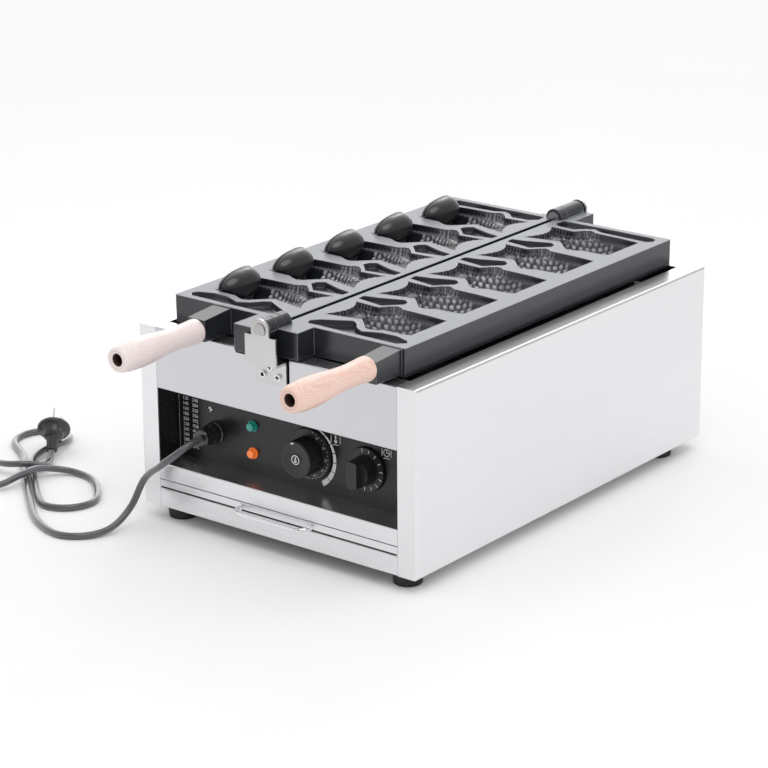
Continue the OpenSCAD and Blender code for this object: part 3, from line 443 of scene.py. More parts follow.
class SharedGroup(Graph):
    """Graph of a shader node group that puts out a colour, a roughness and a height."""

    def __init__(self, name: str, **inputs: object) -> None:
        """Makes the group with its sockets.

        Args:
            name: name of the group.
            inputs: default value of each input: a number, a colour, or None for a vector.
        """
        super().__init__(bpy.data.node_groups.new(name, "ShaderNodeTree"))
        sockets = self.tree.interface
        for label, value in inputs.items():
            kind = "Vector" if value is None else "Color" if isinstance(value, tuple) else "Float"
            made = sockets.new_socket(label, in_out="INPUT", socket_type=f"NodeSocket{kind}")
            if value is not None:
                made.default_value = (*value, 1.0) if kind == "Color" else value
        for label, kind in (("Color", "Color"), ("Roughness", "Float"), ("Height", "Float")):
            sockets.new_socket(label, in_out="OUTPUT", socket_type=f"NodeSocket{kind}")
        self.given = self.node("NodeGroupInput").outputs

    def close(self, color: Socket, roughness: Socket, height: Socket) -> bpy.types.NodeTree:
        """Joins the three outputs and returns the group."""
        self.node("NodeGroupOutput", {"Color": color, "Roughness": roughness, "Height": height})
        return self.tree


GREY = (0.5, 0.5, 0.5)


@cache
def brushed_sheet() -> bpy.types.NodeTree:
    """Brushed sheet: fine streaks of noise, stretched along one axis, over broad cloudy patches.

    Returns:
        A group whose colour, roughness and height follow the streaks.
    """
    g = SharedGroup("brushed_sheet", Fine=None, Place=None, Tone=GREY, Contrast=0.1, Roughness=0.3,
                    Patches=0.06)
    streak = g.noise(g.given["Fine"], 1.0, 4.0)
    off = g.math("SUBTRACT", streak, 0.5)
    haze = g.math("SUBTRACT", g.noise(g.given["Place"], 7.0, 3.0), 0.5)
    patches = g.math("MULTIPLY_ADD", haze, g.given["Patches"], 1.0)
    tone = g.shade(g.given["Tone"], g.math("MULTIPLY_ADD", off, g.given["Contrast"], patches))
    rough = g.math("MULTIPLY_ADD", haze, 0.1, g.given["Roughness"])
    return g.close(tone, g.math("MULTIPLY_ADD", off, 0.16, rough), streak)


@cache
def cast_coating() -> bpy.types.NodeTree:
    """Cast coating: fine orange peel, slow changes of tone, a top face painted lighter as a painted sheen,
    and edges painted light, partly wear and partly painted highlight.

    Returns:
        A group whose colour lightens on the top face, a painted sheen, and on the edges, partly wear and
        partly painted highlight.
    """
    g = SharedGroup("cast_coating", Place=None, Tone=GREY, Worn=GREY, Edge=0.0, Roughness=0.4, Peel=900.0,
                    Ground=0.0, Face=GREY)
    peel = g.noise(g.given["Place"], g.given["Peel"], 2.0)
    drift = g.noise(g.given["Place"], 16.0, 5.0)
    # Top face painted paler: painted sheen.
    whole = g.mix(g.given["Ground"], g.given["Tone"], g.given["Face"])
    base = g.shade(whole, g.scaled(drift, (0.3, 0.7), (0.86, 1.14)))
    # Edges take the worn tone: partly wear, partly painted highlight.
    worn = g.math("MULTIPLY", g.given["Edge"], g.scaled(drift, (0.35, 0.6), (0.35, 1.0)), clamp=True)
    rough = g.math("MULTIPLY_ADD", g.given["Ground"], 0.12, g.given["Roughness"])
    uneven = g.math("MULTIPLY_ADD", g.math("SUBTRACT", drift, 0.5), 0.16, rough)
    return g.close(g.mix(worn, base, g.given["Worn"]), uneven, peel)


@cache
def turned_wood() -> bpy.types.NodeTree:
    """Turned beech: growth rings as bent bands, with short fine pores along the grain.

    Returns:
        A group with a pale and a dark tone as inputs.
    """
    g = SharedGroup("turned_wood", Grain=None, Place=None, Pale=GREY, Dark=GREY, Roughness=0.4)
    waves = {"Vector": g.given["Grain"], "Scale": 3.2, "Distortion": 5.0, "Detail": 3.0, "Detail Scale": 1.6}
    bands = g.node("ShaderNodeTexWave", waves, wave_type="BANDS", bands_direction="DIAGONAL").outputs["Fac"]
    pores = g.scaled(g.noise(g.given["Grain"], 26.0, 3.0), (0.52, 0.68))
    slow = g.noise(g.given["Place"], 22.0, 2.0)
    share = g.math("MULTIPLY", g.math("ADD", bands, g.math("ADD", pores, slow)), 0.3, clamp=True)
    return g.close(g.mix(share, g.given["Pale"], g.given["Dark"]),
                   g.math("MULTIPLY_ADD", pores, 0.12, g.given["Roughness"]), g.math("SUBTRACT", 1.0, pores))


@cache
def moulded_skin() -> bpy.types.NodeTree:
    """Moulded or painted skin: faint mottling of the tone, scuffed roughness and a fine grain.

    Returns:
        A group with its tone, mottling and grain size as inputs.
    """
    g = SharedGroup("moulded_skin", Place=None, Tone=GREY, Mottle=0.2, Roughness=0.4, Scuff=0.1, Grain=1500.0)
    off = g.math("SUBTRACT", g.noise(g.given["Place"], 30.0, 4.0), 0.5)
    tone = g.shade(g.given["Tone"], g.math("MULTIPLY_ADD", off, g.given["Mottle"], 1.0))
    rough = g.math("MULTIPLY_ADD", off, g.given["Scuff"], g.given["Roughness"])
    return g.close(tone, rough, g.noise(g.given["Place"], g.given["Grain"], 1.0))


# Finishes


@dataclass(frozen=True)
class Finish:
    """What every finish has: a name and the way from a node group to a Principled shader."""

    name: str

    def start(self) -> tuple[bpy.types.Material, Graph, Socket]:
        """Makes an empty material.

        Returns:
            The material, its graph and the Object coordinates.
        """
        material = bpy.data.materials.new(self.name)
        material.use_nodes = True
        material.node_tree.nodes.clear()
        g = Graph(material.node_tree)
        return material, g, g.node("ShaderNodeTexCoord").outputs["Object"]

    def join(self, g: Graph, skin: bpy.types.NodeTree, values: dict[str, object],
             constants: dict[str, object], bump: Flat, normal: Socket | None) -> None:
        """Places a node group and joins its colour, roughness and height to a Principled shader.

        Args:
            g: the material's graph.
            skin: the node group.
            values: what the group's inputs get.
            constants: plain values of the shader's own sockets.
            bump: strength of the bump, and its height in metres.
            normal: a normal that the bump starts from, such as a rounded edge's.
        """
        made = g.node("ShaderNodeGroup", values, node_tree=skin).outputs
        raised = {"Strength": bump[0], "Distance": bump[1], "Height": made["Height"]}
        if normal is not None:
            raised["Normal"] = normal
        shader = g.node("ShaderNodeBsdfPrincipled", {
            **constants, "Base Color": made["Color"], "Roughness": made["Roughness"],
            "Normal": g.node("ShaderNodeBump", raised).outputs[0]})
        g.node("ShaderNodeOutputMaterial", {"Surface": shader.outputs[0]})


@dataclass(frozen=True)
class BrushedSheet(Finish):
    """Brushed stainless sheet whose lines run along one axis, with streaks per metre across and along."""

    tone: Color = (0.8, 0.8, 0.81)
    along: Axis = Axis.X
    roughness: float = 0.3
    contrast: float = 0.14
    patches: float = 0.05
    edge: float = 0.0006
    streaks: Flat = (1500.0, 12.0)

    def build(self) -> bpy.types.Material:
        """Makes the material, from noise that is stretched along the lines.

        Returns:
            The material.
        """
        material, g, place_of = self.start()
        scale = [self.streaks[0]] * 3
        scale[self.along.value] = self.streaks[1]
        values = {"Fine": g.node("ShaderNodeMapping", {"Vector": place_of, "Scale": scale}).outputs[0],
                  "Place": place_of, "Tone": self.tone, "Contrast": self.contrast,
                  "Roughness": self.roughness, "Patches": self.patches}
        self.join(g, brushed_sheet(), values, {"Metallic": 1.0}, (0.05, 0.00004), g.bevel(self.edge))
        return material


@dataclass(frozen=True)
class CastCoating(Finish):
    """Cast metal under a dark release coating, with edges painted light, partly wear and partly painted
    highlight, and a top face painted paler, a painted sheen.
    """

    tone: Color = (0.05, 0.05, 0.055)
    worn: Color = (0.3, 0.3, 0.32)
    roughness: float = 0.4
    ior: float = 1.9
    # Paler tone of the top face: painted sheen.
    face: Color = (0.2, 0.2, 0.215)
    ground: float = 0.0
    peel: float = 900.0
    bump: float = 0.3
    edge: float = 0.0009
    wear: float = 6.0
    coat: float = 0.0
    lining: bool = False

    def build(self) -> bpy.types.Material:
        """Makes the material. Edges are painted light, partly wear and partly painted highlight, where the
        rounded normal leaves the true one, or in a lining at the points that carry a painted highlight; what
        lies within about 0.4 mm of the top face's height is painted paler, a painted sheen.

        Returns:
            The material.
        """
        material, g, place_of = self.start()
        rounded = g.bevel(self.edge, 6)
        if self.lining:
            # A lining's lips, crests and ridges are painted light from a point attribute: painted highlight,
            # partly wear.
            worn = g.node("ShaderNodeAttribute", attribute_name="wear", attribute_type="GEOMETRY")
            edge = worn.outputs["Fac"]
        else:
            same = g.toward(rounded, g.node("ShaderNodeNewGeometry").outputs["True Normal"])
            edge = g.math("MULTIPLY", g.math("SUBTRACT", 1.0, same), self.wear, clamp=True)
        values = {"Place": place_of, "Edge": edge, "Tone": self.tone, "Worn": self.worn,
                  "Roughness": self.roughness, "Peel": self.peel}
        # Paler top face at one height: painted sheen.
        if self.ground:
            height = g.node("ShaderNodeSeparateXYZ", {0: place_of}).outputs[2]
            off = g.math("ABSOLUTE", g.math("SUBTRACT", height, self.ground))
            values |= {"Ground": g.scaled(off, (0.0003, 0.0006), (1.0, 0.0)), "Face": self.face}
        constants = {"IOR": self.ior, "Coat Weight": self.coat, "Coat Roughness": 0.12}
        self.join(g, cast_coating(), values, constants, (self.bump, 0.0002), rounded)
        return material


@dataclass(frozen=True)
class TurnedWood(Finish):
    """Lacquered wood, turned with its grain along the handle."""

    pale: Color = (0.8, 0.6, 0.5)
    dark: Color = (0.6, 0.4, 0.3)
    roughness: float = 0.38
    grain: Point = (95.0, 8.0, 95.0)

    def build(self) -> bpy.types.Material:
        """Makes the material: the grain is 12 times longer than wide.

        Returns:
            The material.
        """
        material, g, place_of = self.start()
        grain = g.node("ShaderNodeMapping", {"Vector": place_of, "Scale": self.grain}).outputs[0]
        values = {"Grain": grain, "Place": place_of, "Pale": self.pale, "Dark": self.dark,
                  "Roughness": self.roughness}
        constants = {"Coat Weight": 0.25, "Coat Roughness": 0.2}
        self.join(g, turned_wood(), values, constants, (0.12, 0.0002), g.bevel(0.0012))
        return material


@dataclass(frozen=True)
class Moulded(Finish):
    """Plastic, rubber, paint, glaze or bare metal with a faint mottled skin."""

    tone: Color = (0.1, 0.1, 0.1)
    roughness: float = 0.4
    metallic: float = 0.0
    specular: float = 0.5
    coat: float = 0.0
    mottle: float = 0.2
    scuff: float = 0.12
    grain: float = 1500.0
    bump: float = 0.1
    edge: float = 0.0004
    glow: float = 0.0

    def build(self) -> bpy.types.Material:
        """Makes the material, which shines in its own tone where it is given a glow, a painted glow.

        Returns:
            The material.
        """
        material, g, place_of = self.start()
        values = {"Place": place_of, "Tone": self.tone, "Mottle": self.mottle, "Roughness": self.roughness,
                  "Scuff": self.scuff, "Grain": self.grain}
        constants = {"Metallic": self.metallic, "Specular IOR Level": self.specular, "Coat Weight": self.coat,
                     "Coat Roughness": 0.08, "Emission Strength": self.glow}
        if self.glow:
            constants["Emission Color"] = self.tone
        rounded = g.bevel(self.edge) if self.edge else None
        self.join(g, moulded_skin(), values, constants, (self.bump, 0.0001), rounded)
        return material


FINISHES: dict[str, Finish] = {finish.name: finish for finish in (
    BrushedSheet("side_sheet", (0.83, 0.83, 0.845), Axis.Y, 0.36, 0.06, 0.1, edge=0.0003),
    BrushedSheet("front_sheet", (0.64, 0.64, 0.665), Axis.X, 0.32, 0.08, 0.12),
    BrushedSheet("lower_sheet", (0.81, 0.81, 0.83), Axis.X, 0.3, 0.08, 0.12),
    BrushedSheet("inner_sheet", (0.3, 0.3, 0.31), Axis.Y, 0.48, 0.1),
    BrushedSheet("bracket_sheet", (0.6, 0.6, 0.6), Axis.Z, 0.3, 0.2, 0.3),
    BrushedSheet("hinge_steel", (0.5, 0.5, 0.5), Axis.X, 0.34, 0.2, 0.3),
    # The plate's paler face tone paints its top face lighter, a painted sheen; the worn tones of the plate,
    # the linings and the cores paint edges, lips, crests and ridges light, partly wear and partly painted
    # highlight.
    CastCoating("cast_plate", (0.018, 0.02, 0.025), (0.3, 0.31, 0.34), 0.24, 1.62, (0.2, 0.208, 0.238), 0.265,
                edge=0.0012, wear=8.0),
    CastCoating("cast_lining", (0.014, 0.0155, 0.02), (0.62, 0.63, 0.68), 0.22, 1.62, edge=0.0002,
                lining=True),
    CastCoating("cast_core", (0.011, 0.0115, 0.014), (0.12, 0.12, 0.13), 0.3, 1.65, peel=700.0, bump=0.08,
                coat=0.35),
    TurnedWood("pale_wood", (0.88, 0.8, 0.79), (0.77, 0.59, 0.57), 0.34),
    TurnedWood("peach_wood", (0.88, 0.67, 0.59), (0.73, 0.38, 0.28), 0.34),
    Moulded("panel_black", (0.009, 0.009, 0.011), 0.27, specular=0.4, coat=0.08, mottle=0.5, grain=900.0,
            bump=0.05),
    Moulded("screws", (0.84, 0.84, 0.86), 0.2, 1.0, mottle=0.2, edge=0.0003),
    Moulded("bright_wire", (0.9, 0.9, 0.92), 0.1, 1.0, mottle=0.04, scuff=0.04, bump=0.01, edge=0.0003),
    Moulded("foot_rubber", (0.012, 0.012, 0.012), 0.62, bump=0.25),
    Moulded("heater_sheath", (0.09, 0.085, 0.08), 0.5, 0.6, mottle=0.8),
    Moulded("ceramic", (0.75, 0.73, 0.66), 0.22, coat=0.4),
    Moulded("bulb_copper", (0.6, 0.3, 0.18), 0.35, 1.0, mottle=0.6),
    Moulded("switch_case", (0.6, 0.56, 0.44), 0.45),
    Moulded("timer_case", (0.03, 0.03, 0.033), 0.45),
    Moulded("knob_black", (0.014, 0.014, 0.015), 0.36, mottle=0.5, scuff=0.3, bump=0.12, edge=0.0006),
    # The two lenses glow faintly in their own tone although the lead's plug lies loose on the counter:
    # painted glow.
    Moulded("green_lens", (0.01, 0.26, 0.2), 0.1, coat=0.6, mottle=0.3, glow=0.12, edge=0.0002),
    Moulded("orange_lens", (0.9, 0.19, 0.03), 0.1, coat=0.6, mottle=0.3, glow=0.25, edge=0.0002),
    Moulded("gland_black", (0.01, 0.01, 0.01), 0.24, coat=0.8, mottle=0.4),
    Moulded("cord_grey", (0.075, 0.077, 0.085), 0.3, coat=0.9, mottle=0.3, scuff=0.2, edge=0.0),
    Moulded("plug_black", (0.028, 0.028, 0.031), 0.3, coat=0.25, mottle=0.3),
    Moulded("plug_pin", (0.78, 0.76, 0.72), 0.2, 1.0, mottle=0.1, edge=0.0003),
    # The next two finishes are painted shade: near-black for the screws' cross recesses and the gap under the
    # tray, dark brown inside the grips' bores.
    Moulded("recess_dark", (0.004, 0.004, 0.004), 0.6, mottle=0.3, edge=0.0),
    Moulded("bore_brown", (0.05, 0.018, 0.014), 0.7, mottle=0.6, edge=0.0),
    Moulded("mark_white", (0.7, 0.7, 0.69), 0.5, mottle=0.25, edge=0.0),
)}


@cache
def material_of(finish: str) -> bpy.types.Material:
    """Returns a finish's material, which is made the first time that it is asked for."""
    return FINISHES[finish].build()


def dress(piece: Piece, finish: str) -> Piece:
    """Gives a piece one of the finishes on every slot.

    Args:
        piece: a new piece or a node of the frame.
        finish: name of the finish.

    Returns:
        The same piece.
    """
    if len(piece.data.materials) == 0:
        piece.data.materials.append(material_of(finish))
    for slot_of in piece.material_slots:
        slot_of.link = "DATA"
        slot_of.material = material_of(finish)
    return piece


# Sub-assemblies


@dataclass
class Housing:
    """Folded housing, control box, tray, feet and what stands inside: the frame's own nodes."""

    by_axis: dict[str, str] = field(default_factory=lambda: {
        "left_side_panel": "side_sheet", "right_side_panel": "side_sheet", "rear_panel": "front_sheet",
        "front_panel": "front_sheet", "front_sill": "lower_sheet", "control_shelf": "lower_sheet",
        "drip_tray": "lower_sheet", "front_hinge_bracket": "bracket_sheet",
        "rear_hinge_bracket": "bracket_sheet"})

    def dress(self) -> int:
        """Gives every node of the frame its finish.

        Returns:
            The number of nodes dressed.
        """
        parts = frame["record"]["subparts"]
        for part in parts:
            name = part["node"]
            dress(frame["nodes"][name], self.by_axis.get(name, part["material_slot"]))
        return len(parts)


@dataclass
class TurnedGrip:
    """Wooden grip turned with a flared root, a waist, a belly and a bored, rounded end.

    Its waist is listed as shares of the length and radii.
    """

    name: str
    finish: str
    body: str
    x: float
    z: float
    root_y: float = -18.0
    length: float = 127.0
    bolt_r: float = 4.3
    bore_r: float = 6.75
    bore_depth: float = 25.0
    waist: tuple[Flat, ...] = (
        (0.012, 13.9), (0.05, 13.9), (0.12, 13.4), (0.22, 12.8), (0.32, 12.9), (0.42, 13.6), (0.52, 14.7),
        (0.62, 15.8), (0.72, 16.5), (0.8, 16.6), (0.87, 16.1), (0.93, 15.3), (0.965, 14.6), (0.985, 13.9))

    def profile(self) -> Array:
        """Radius and distance from the root: a smooth line through the listed waist, a rounded end with a
        thin ring groove, and the bore.

        Returns:
            (n, 2) array.
        """
        share, radius = np.array(self.waist).T
        outer = smooth_line(np.column_stack([radius, share * self.length, share * 0]), 5)[:, :2]
        end, r, seat = self.length, self.bore_r, self.length - self.bore_depth
        root = [(self.bolt_r, 0.3), (12.6, 0.3), (13.5, 0.6)]
        tip = [(13.3, end - 0.9), (12.4, end - 0.3), (11.2, end), (10.1, end), (9.9, end - 0.5),
               (9.6, end - 0.5), (9.4, end - 0.1), (r + 1.6, end - 0.2), (r + 0.7, end - 0.7),
               (r + 0.4, end - 1.6), (r + 0.4, seat), (self.bolt_r, seat)]
        return np.vstack([root, outer, tip])

    def build(self) -> list[Piece]:
        """Makes the grip and a dark brown sleeve in its bore, painted shade inside the hole.

        Returns:
            Both pieces.
        """
        origin, way = np.array([self.x, self.root_y, self.z]), np.array([0.0, -1.0, 0.0])
        end, r, seat = self.length, self.bore_r, self.length - self.bore_depth
        wood, bore_shade = Shape(), Shape()
        wood.add_grid(turned(self.profile(), 64, origin, way), wrap_u=True, wrap_v=True)
        ring = np.array([(r + 0.3, end - 1.5), (r, end - 1.8), (r - 0.1, seat + 0.2), (r + 0.3, seat + 0.2)])
        bore_shade.add_grid(turned(ring, 48, origin, way), wrap_u=True, wrap_v=True)
        grip = dress(wood.mesh(f"{self.name}_turned", merge=0.001), self.finish)
        # Dark brown sleeve in the bore: painted shade.
        bore = dress(bore_shade.mesh(f"{self.name}_bore", merge=0.001), "bore_brown")
        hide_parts(self.name)
        for piece in (grip, bore):
            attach(piece, self.body)
        return [grip, bore]


@dataclass
class ScrewRecessShade:
    """Dark crossed bars on the heads of the bracket's screws and of the panel's screw: painted shade that
    stands for the shadow in their cross recesses.
    """

    heads: tuple[Flat, ...] = ((0, 220), (-10.5, 210), (10.5, 210))
    front_y: float = -4.9
    rear_y: float = 569.9
    panel: Point = (-124.0, 33.55, 134.0)
    size: float = 5.6
    panel_size: float = 4.6
    thick: float = 0.12

    def cross(self, shape: Shape, x: float, y: float, z: float, turn: float, size: float) -> None:
        """Adds two crossing bars whose middle lies at the head's face.

        Args:
            shape: what they are added to.
            x: place across.
            y: place of the face.
            z: height.
            turn: angle of the cross in degrees.
            size: length of a bar.
        """
        cube = np.array([(i, j, k) for i in (-1, 1) for j in (-1, 1) for k in (-1, 1)], float)
        sides = [(0, 1, 3, 2), (4, 6, 7, 5), (0, 4, 5, 1), (2, 3, 7, 6), (0, 2, 6, 4), (1, 5, 7, 3)]
        for quarter in (0, 90):
            a = math.radians(turn + quarter)
            spread = cube * np.array([size / 2, self.thick / 2, size * 0.15])
            x_of = spread[:, 0] * math.cos(a) - spread[:, 2] * math.sin(a)
            z_of = spread[:, 0] * math.sin(a) + spread[:, 2] * math.cos(a)
            shape.add(np.stack([x + x_of, y + spread[:, 1], z + z_of], 1), sides)

    def build(self) -> Piece:
        """Makes all the painted shade of the recesses as one piece.

        Returns:
            The piece.
        """
        shape = Shape()
        for i, (x, z) in enumerate(self.heads):
            self.cross(shape, x, self.front_y, z, 20 + 35 * i, self.size)
            self.cross(shape, x, self.rear_y, z, 15 + 30 * i, self.size)
        self.cross(shape, *self.panel, 30, self.panel_size)
        piece = dress(shape.mesh("screw_recesses", smooth=False), "recess_dark")
        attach(piece, "housing")
        return piece


@dataclass
class RearShadeBaffles:
    """Two dark channels inside the rear panel, behind the slots: they keep the light of the slots out of the
    housing, and their dark sheet stands in for the shade inside it, a painted shade.
    """

    back_y: float = 563.4
    depth: float = 10.5
    sheet: float = 0.8
    inner_x: float = 43.0
    outer_x: float = 141.0
    low: float = 64.0
    high: float = 128.0

    def build(self) -> Piece:
        """Makes both channels: a U-shaped section, open to the rear, carried up from low to high.

        Returns:
            The piece.
        """
        back, floor, t = self.back_y, self.back_y - self.depth, self.sheet
        w = self.outer_x - self.inner_x
        section = np.array([(0, back), (0, floor), (w, floor), (w, back), (w - t, back), (w - t, floor + t),
                            (t, floor + t), (t, back)])
        shape = Shape()
        for start in (self.inner_x, -self.outer_x):
            flat = section + np.array([start, 0.0])
            grid = np.stack([level(flat, z) for z in np.linspace(self.low, self.high, 5)])
            shape.add_grid(grid, wrap_v=True)
            for end in (grid[0], grid[-1]):
                shape.add(end, [(0, 1, 6, 7), (1, 2, 5, 6), (2, 3, 4, 5)])
        piece = dress(shape.mesh("rear_baffles", smooth=False, merge=0.001), "inner_sheet")
        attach(piece, "housing")
        return piece


@dataclass
class TrayGapShade:
    """Black strip along the lower edge of the tray's front, rounded in front: painted shadow that stands for
    the dark gap between the tray and the sill.
    """

    half: float = 168.5
    low: float = 41.0
    high: float = 43.0
    proud: float = 0.35
    sunk: float = 0.3

    def build(self) -> Piece:
        """Makes the strip: a half-round section, proud * sin(a) thick, carried from left to right.

        Returns:
            The piece.
        """
        a = np.linspace(0, np.pi, 9)
        middle, rise = (self.low + self.high) / 2, (self.high - self.low) / 2
        bow = np.column_stack([-self.proud * np.sin(a), middle + rise * np.cos(a)])
        section = np.vstack([bow, [(self.sunk, self.low), (self.sunk, self.high)]])
        shape = Shape()
        shape.add_bar(np.stack([np.column_stack([np.full(len(section), x), section])
                                for x in np.linspace(-self.half, self.half, 12)]))
        piece = dress(shape.mesh("tray_edge", smooth=False, merge=0.001), "recess_dark")
        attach(piece, "tray")
        return piece


@dataclass
class Louvres:
    """Pressed hoods over the cooling slots of the rear panel, each open towards the right."""

    face_y: float = 565.0
    rise: float = 4.2
    wide: float = 6.0
    start: float = -3.6
    sheet: float = 0.8
    low: float = 70.0
    high: float = 122.0
    first: float = 50.0
    pitch: float = 14.0
    count: int = 7

    def hood(self, x: float) -> Array:
        """Closed strip of one hood: it stands rise * sin(pi u / 2) * (1 - (2v - 1)^6) proud, with u across
        the slot and v along it, and its inner side follows one sheet thickness behind.

        Args:
            x: middle of the slot.

        Returns:
            (points along, points round, 3) array in millimetres.
        """
        v = np.linspace(0, 1, 25)[:, None]
        u = np.linspace(0, 1, 9)[None, :]
        out = self.rise * np.sin(np.pi / 2 * u) * (1 - (2 * v - 1) ** 6)
        across = np.broadcast_to(x + self.start + self.wide * u, out.shape)
        along = np.broadcast_to(self.low + (self.high - self.low) * v, out.shape)
        outer = np.stack([across, self.face_y + out + HAIR, along], -1)
        inner = np.stack([across, self.face_y + np.maximum(out - self.sheet, -0.1), along], -1)
        return np.concatenate([outer, inner[:, ::-1]], 1)

    def build(self) -> Piece:
        """Makes both rows of hoods as one piece.

        Returns:
            The piece.
        """
        shape = Shape()
        for side in Side:
            for i in range(self.count):
                shape.add_bar(self.hood(side.value * (self.first + i * self.pitch)))
        piece = dress(shape.mesh("rear_louvres", merge=0.001), "front_sheet")
        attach(piece, "housing")
        return piece


@dataclass
class MainsLead:
    """Mains lead that leaves the gland, lies on the counter in loose loops and ends in its plug."""

    diameter: float = 8.0
    steps: int = 14
    route: tuple[Point, ...] = (
        (-115, 8.5, 109), (-116, -7.5, 106.6), (-122.5, -22, 98.5), (-140, -29, 83), (-174.5, -21, 56.5),
        (-184, -35, 25), (-188, -62, 8), (-199, -91, 4.4), (-225, -108, 4.2), (-259, -101, 4.2),
        (-300, -76, 4.2), (-391, 3, 5.5), (-434, 44, 5.5), (-482, 77, 4), (-490, 108, 4.2),
        (-473, 133, 4.2), (-445, 133, 4.2), (-426, 107, 7.5), (-424, 66, 8), (-411, 36, 6),
        (-376, 3, 5), (-318, -46, 4.2), (-291, -52, 4.2), (-270, -35, 4.2), (-269, -4, 4.2),
        (-309, 36, 4), (-343, 45, 4.5), (-366, 33, 8), (-375, 6, 14.5), (-376, -19, 14),
        (-386, -47, 7.5), (-422, -69, 4.5), (-468, -50, 4.2), (-477, -22, 4.5), (-458, -2, 8),
        (-412, -3, 15), (-392, 11, 15.7), (-388, 31, 8.5), (-397, 51, 6), (-408, 66, 12))
    plug_heading: float = 128.0
    plug_tilt: float = 30.0
    plug_length: float = 37.0
    plug_width: float = 40.0
    rib_pitch: float = 3.4
    relief_length: float = 19.0
    tie_at: Point = (-409, 26.8, 5.9)
    tie_heading: float = 41.0
    tie_spacing: float = 9.1
    tie_width: float = 6.0

    def plug_axis(self) -> Array:
        """Returns the unit vector along the plug, from its lead to its pins."""
        h, t = math.radians(self.plug_heading), math.radians(self.plug_tilt)
        return np.array([math.cos(h) * math.cos(t), math.sin(h) * math.cos(t), math.sin(t)])

    def plug(self) -> Piece:
        """Makes the moulded plug: a turned body with a ribbed strain relief, whose radius is a taper plus
        rounded ribs at even steps.

        Returns:
            The plug's piece.
        """
        neck, wide, end = self.diameter / 2 + 2.5, self.plug_width / 2, self.plug_length
        t = np.linspace(0, 1, 90)
        along = t * self.relief_length
        ribs = 0.9 * np.maximum(0.0, np.sin(2 * np.pi * along / self.rib_pitch)) ** 0.7
        relief = np.stack([neck - 0.8 + 1.4 * t + ribs * (t > 0.06), along], 1)
        body = np.array([(neck + 1.6, 19.4), (neck + 3.6, 20.6), (neck + 5.4, 22.6), (neck + 6.4, 25.5),
                         (neck + 6.8, end - 7.4), (neck + 7.2, end - 5.6), (wide - 1.4, end - 5.2),
                         (wide - 0.4, end - 4.7), (wide, end - 3.8), (wide, end - 1.1),
                         (wide - 0.4, end - 0.4), (wide - 1.2, end), (0, end)])
        profile = np.vstack([[(0, 0), (neck - 1.4, 0)], relief, body])
        shape = Shape()
        shape.add_grid(turned(profile, 48, np.array(self.route[-1], float), self.plug_axis()), wrap_v=True)
        piece = dress(shape.mesh("plug_moulding", merge=0.01), "plug_black")
        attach(piece, "housing")
        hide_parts("plug_body")
        return piece

    def tie(self) -> Piece:
        """Makes the tie: a flat band with rounded edges whose middle line is a stadium round two runs, two
        half circles whose centres are one spacing apart.

        Returns:
            The tie's piece.
        """
        a = np.linspace(0, 2 * np.pi, 64, endpoint=False)[:, None]
        out, edge = np.array([(0, -0.5), (0.1, -0.42), (1, -0.42), (1, 0.42), (0.1, 0.42), (0, 0.5)]).T
        r = 1.04 * self.diameter / 2 + 0.5 + out
        shift = np.where(np.cos(a) >= 0, self.tie_spacing / 2, -self.tie_spacing / 2)
        turn = math.radians(self.tie_heading)
        along = np.array([math.sin(turn), -math.cos(turn), 0])
        across = np.array([math.cos(turn), math.sin(turn), 0])
        grid = (shift + r * np.cos(a))[..., None] * across + (edge * self.tie_width)[:, None] * along
        grid[..., 2] += r * np.sin(a)
        shape = Shape()
        shape.add_grid(grid + np.array(self.tie_at), wrap_u=True, wrap_v=True)
        piece = dress(shape.mesh("cord_tie_band", smooth=False, merge=0.01), "gland_black")
        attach(piece, "housing")
        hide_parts("cord_tie")
        return piece

    def build(self) -> list[Piece]:
        """Makes the lead as one smooth curve with its plug and tie.

        Returns:
            The pieces made.
        """
        line = place(smooth_line(np.array(self.route, float), self.steps))
        curve = bpy.data.curves.new("mains_lead", "CURVE")
        curve.dimensions = "3D"
        spline = curve.splines.new("POLY")
        spline.points.add(len(line) - 1)
        spline.points.foreach_set("co", level(line, 1.0).ravel())
        curve.bevel_depth = self.diameter / 2 * MM
        curve.bevel_resolution = 5
        curve.use_fill_caps = True
        lead = dress(bring("mains_lead", curve), "cord_grey")
        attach(lead, "housing")
        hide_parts("power_cord")
        plug, tie = self.plug(), self.tie()
        return [lead, plug, tie]


@dataclass
class FishRow:
    """Row of fish along a plate: the sizes that its moulds share with its mouth cores."""

    parting: float = 265.0
    first: float = 94.5
    pitch: float = 94.0
    count: int = 5
    lift: float = 3.0
    drop: float = 2.0
    core_x: float = 131.0

    def centres(self) -> list[float]:
        """Returns each fish's centre, from the front face."""
        return [self.first + i * self.pitch for i in range(self.count)]


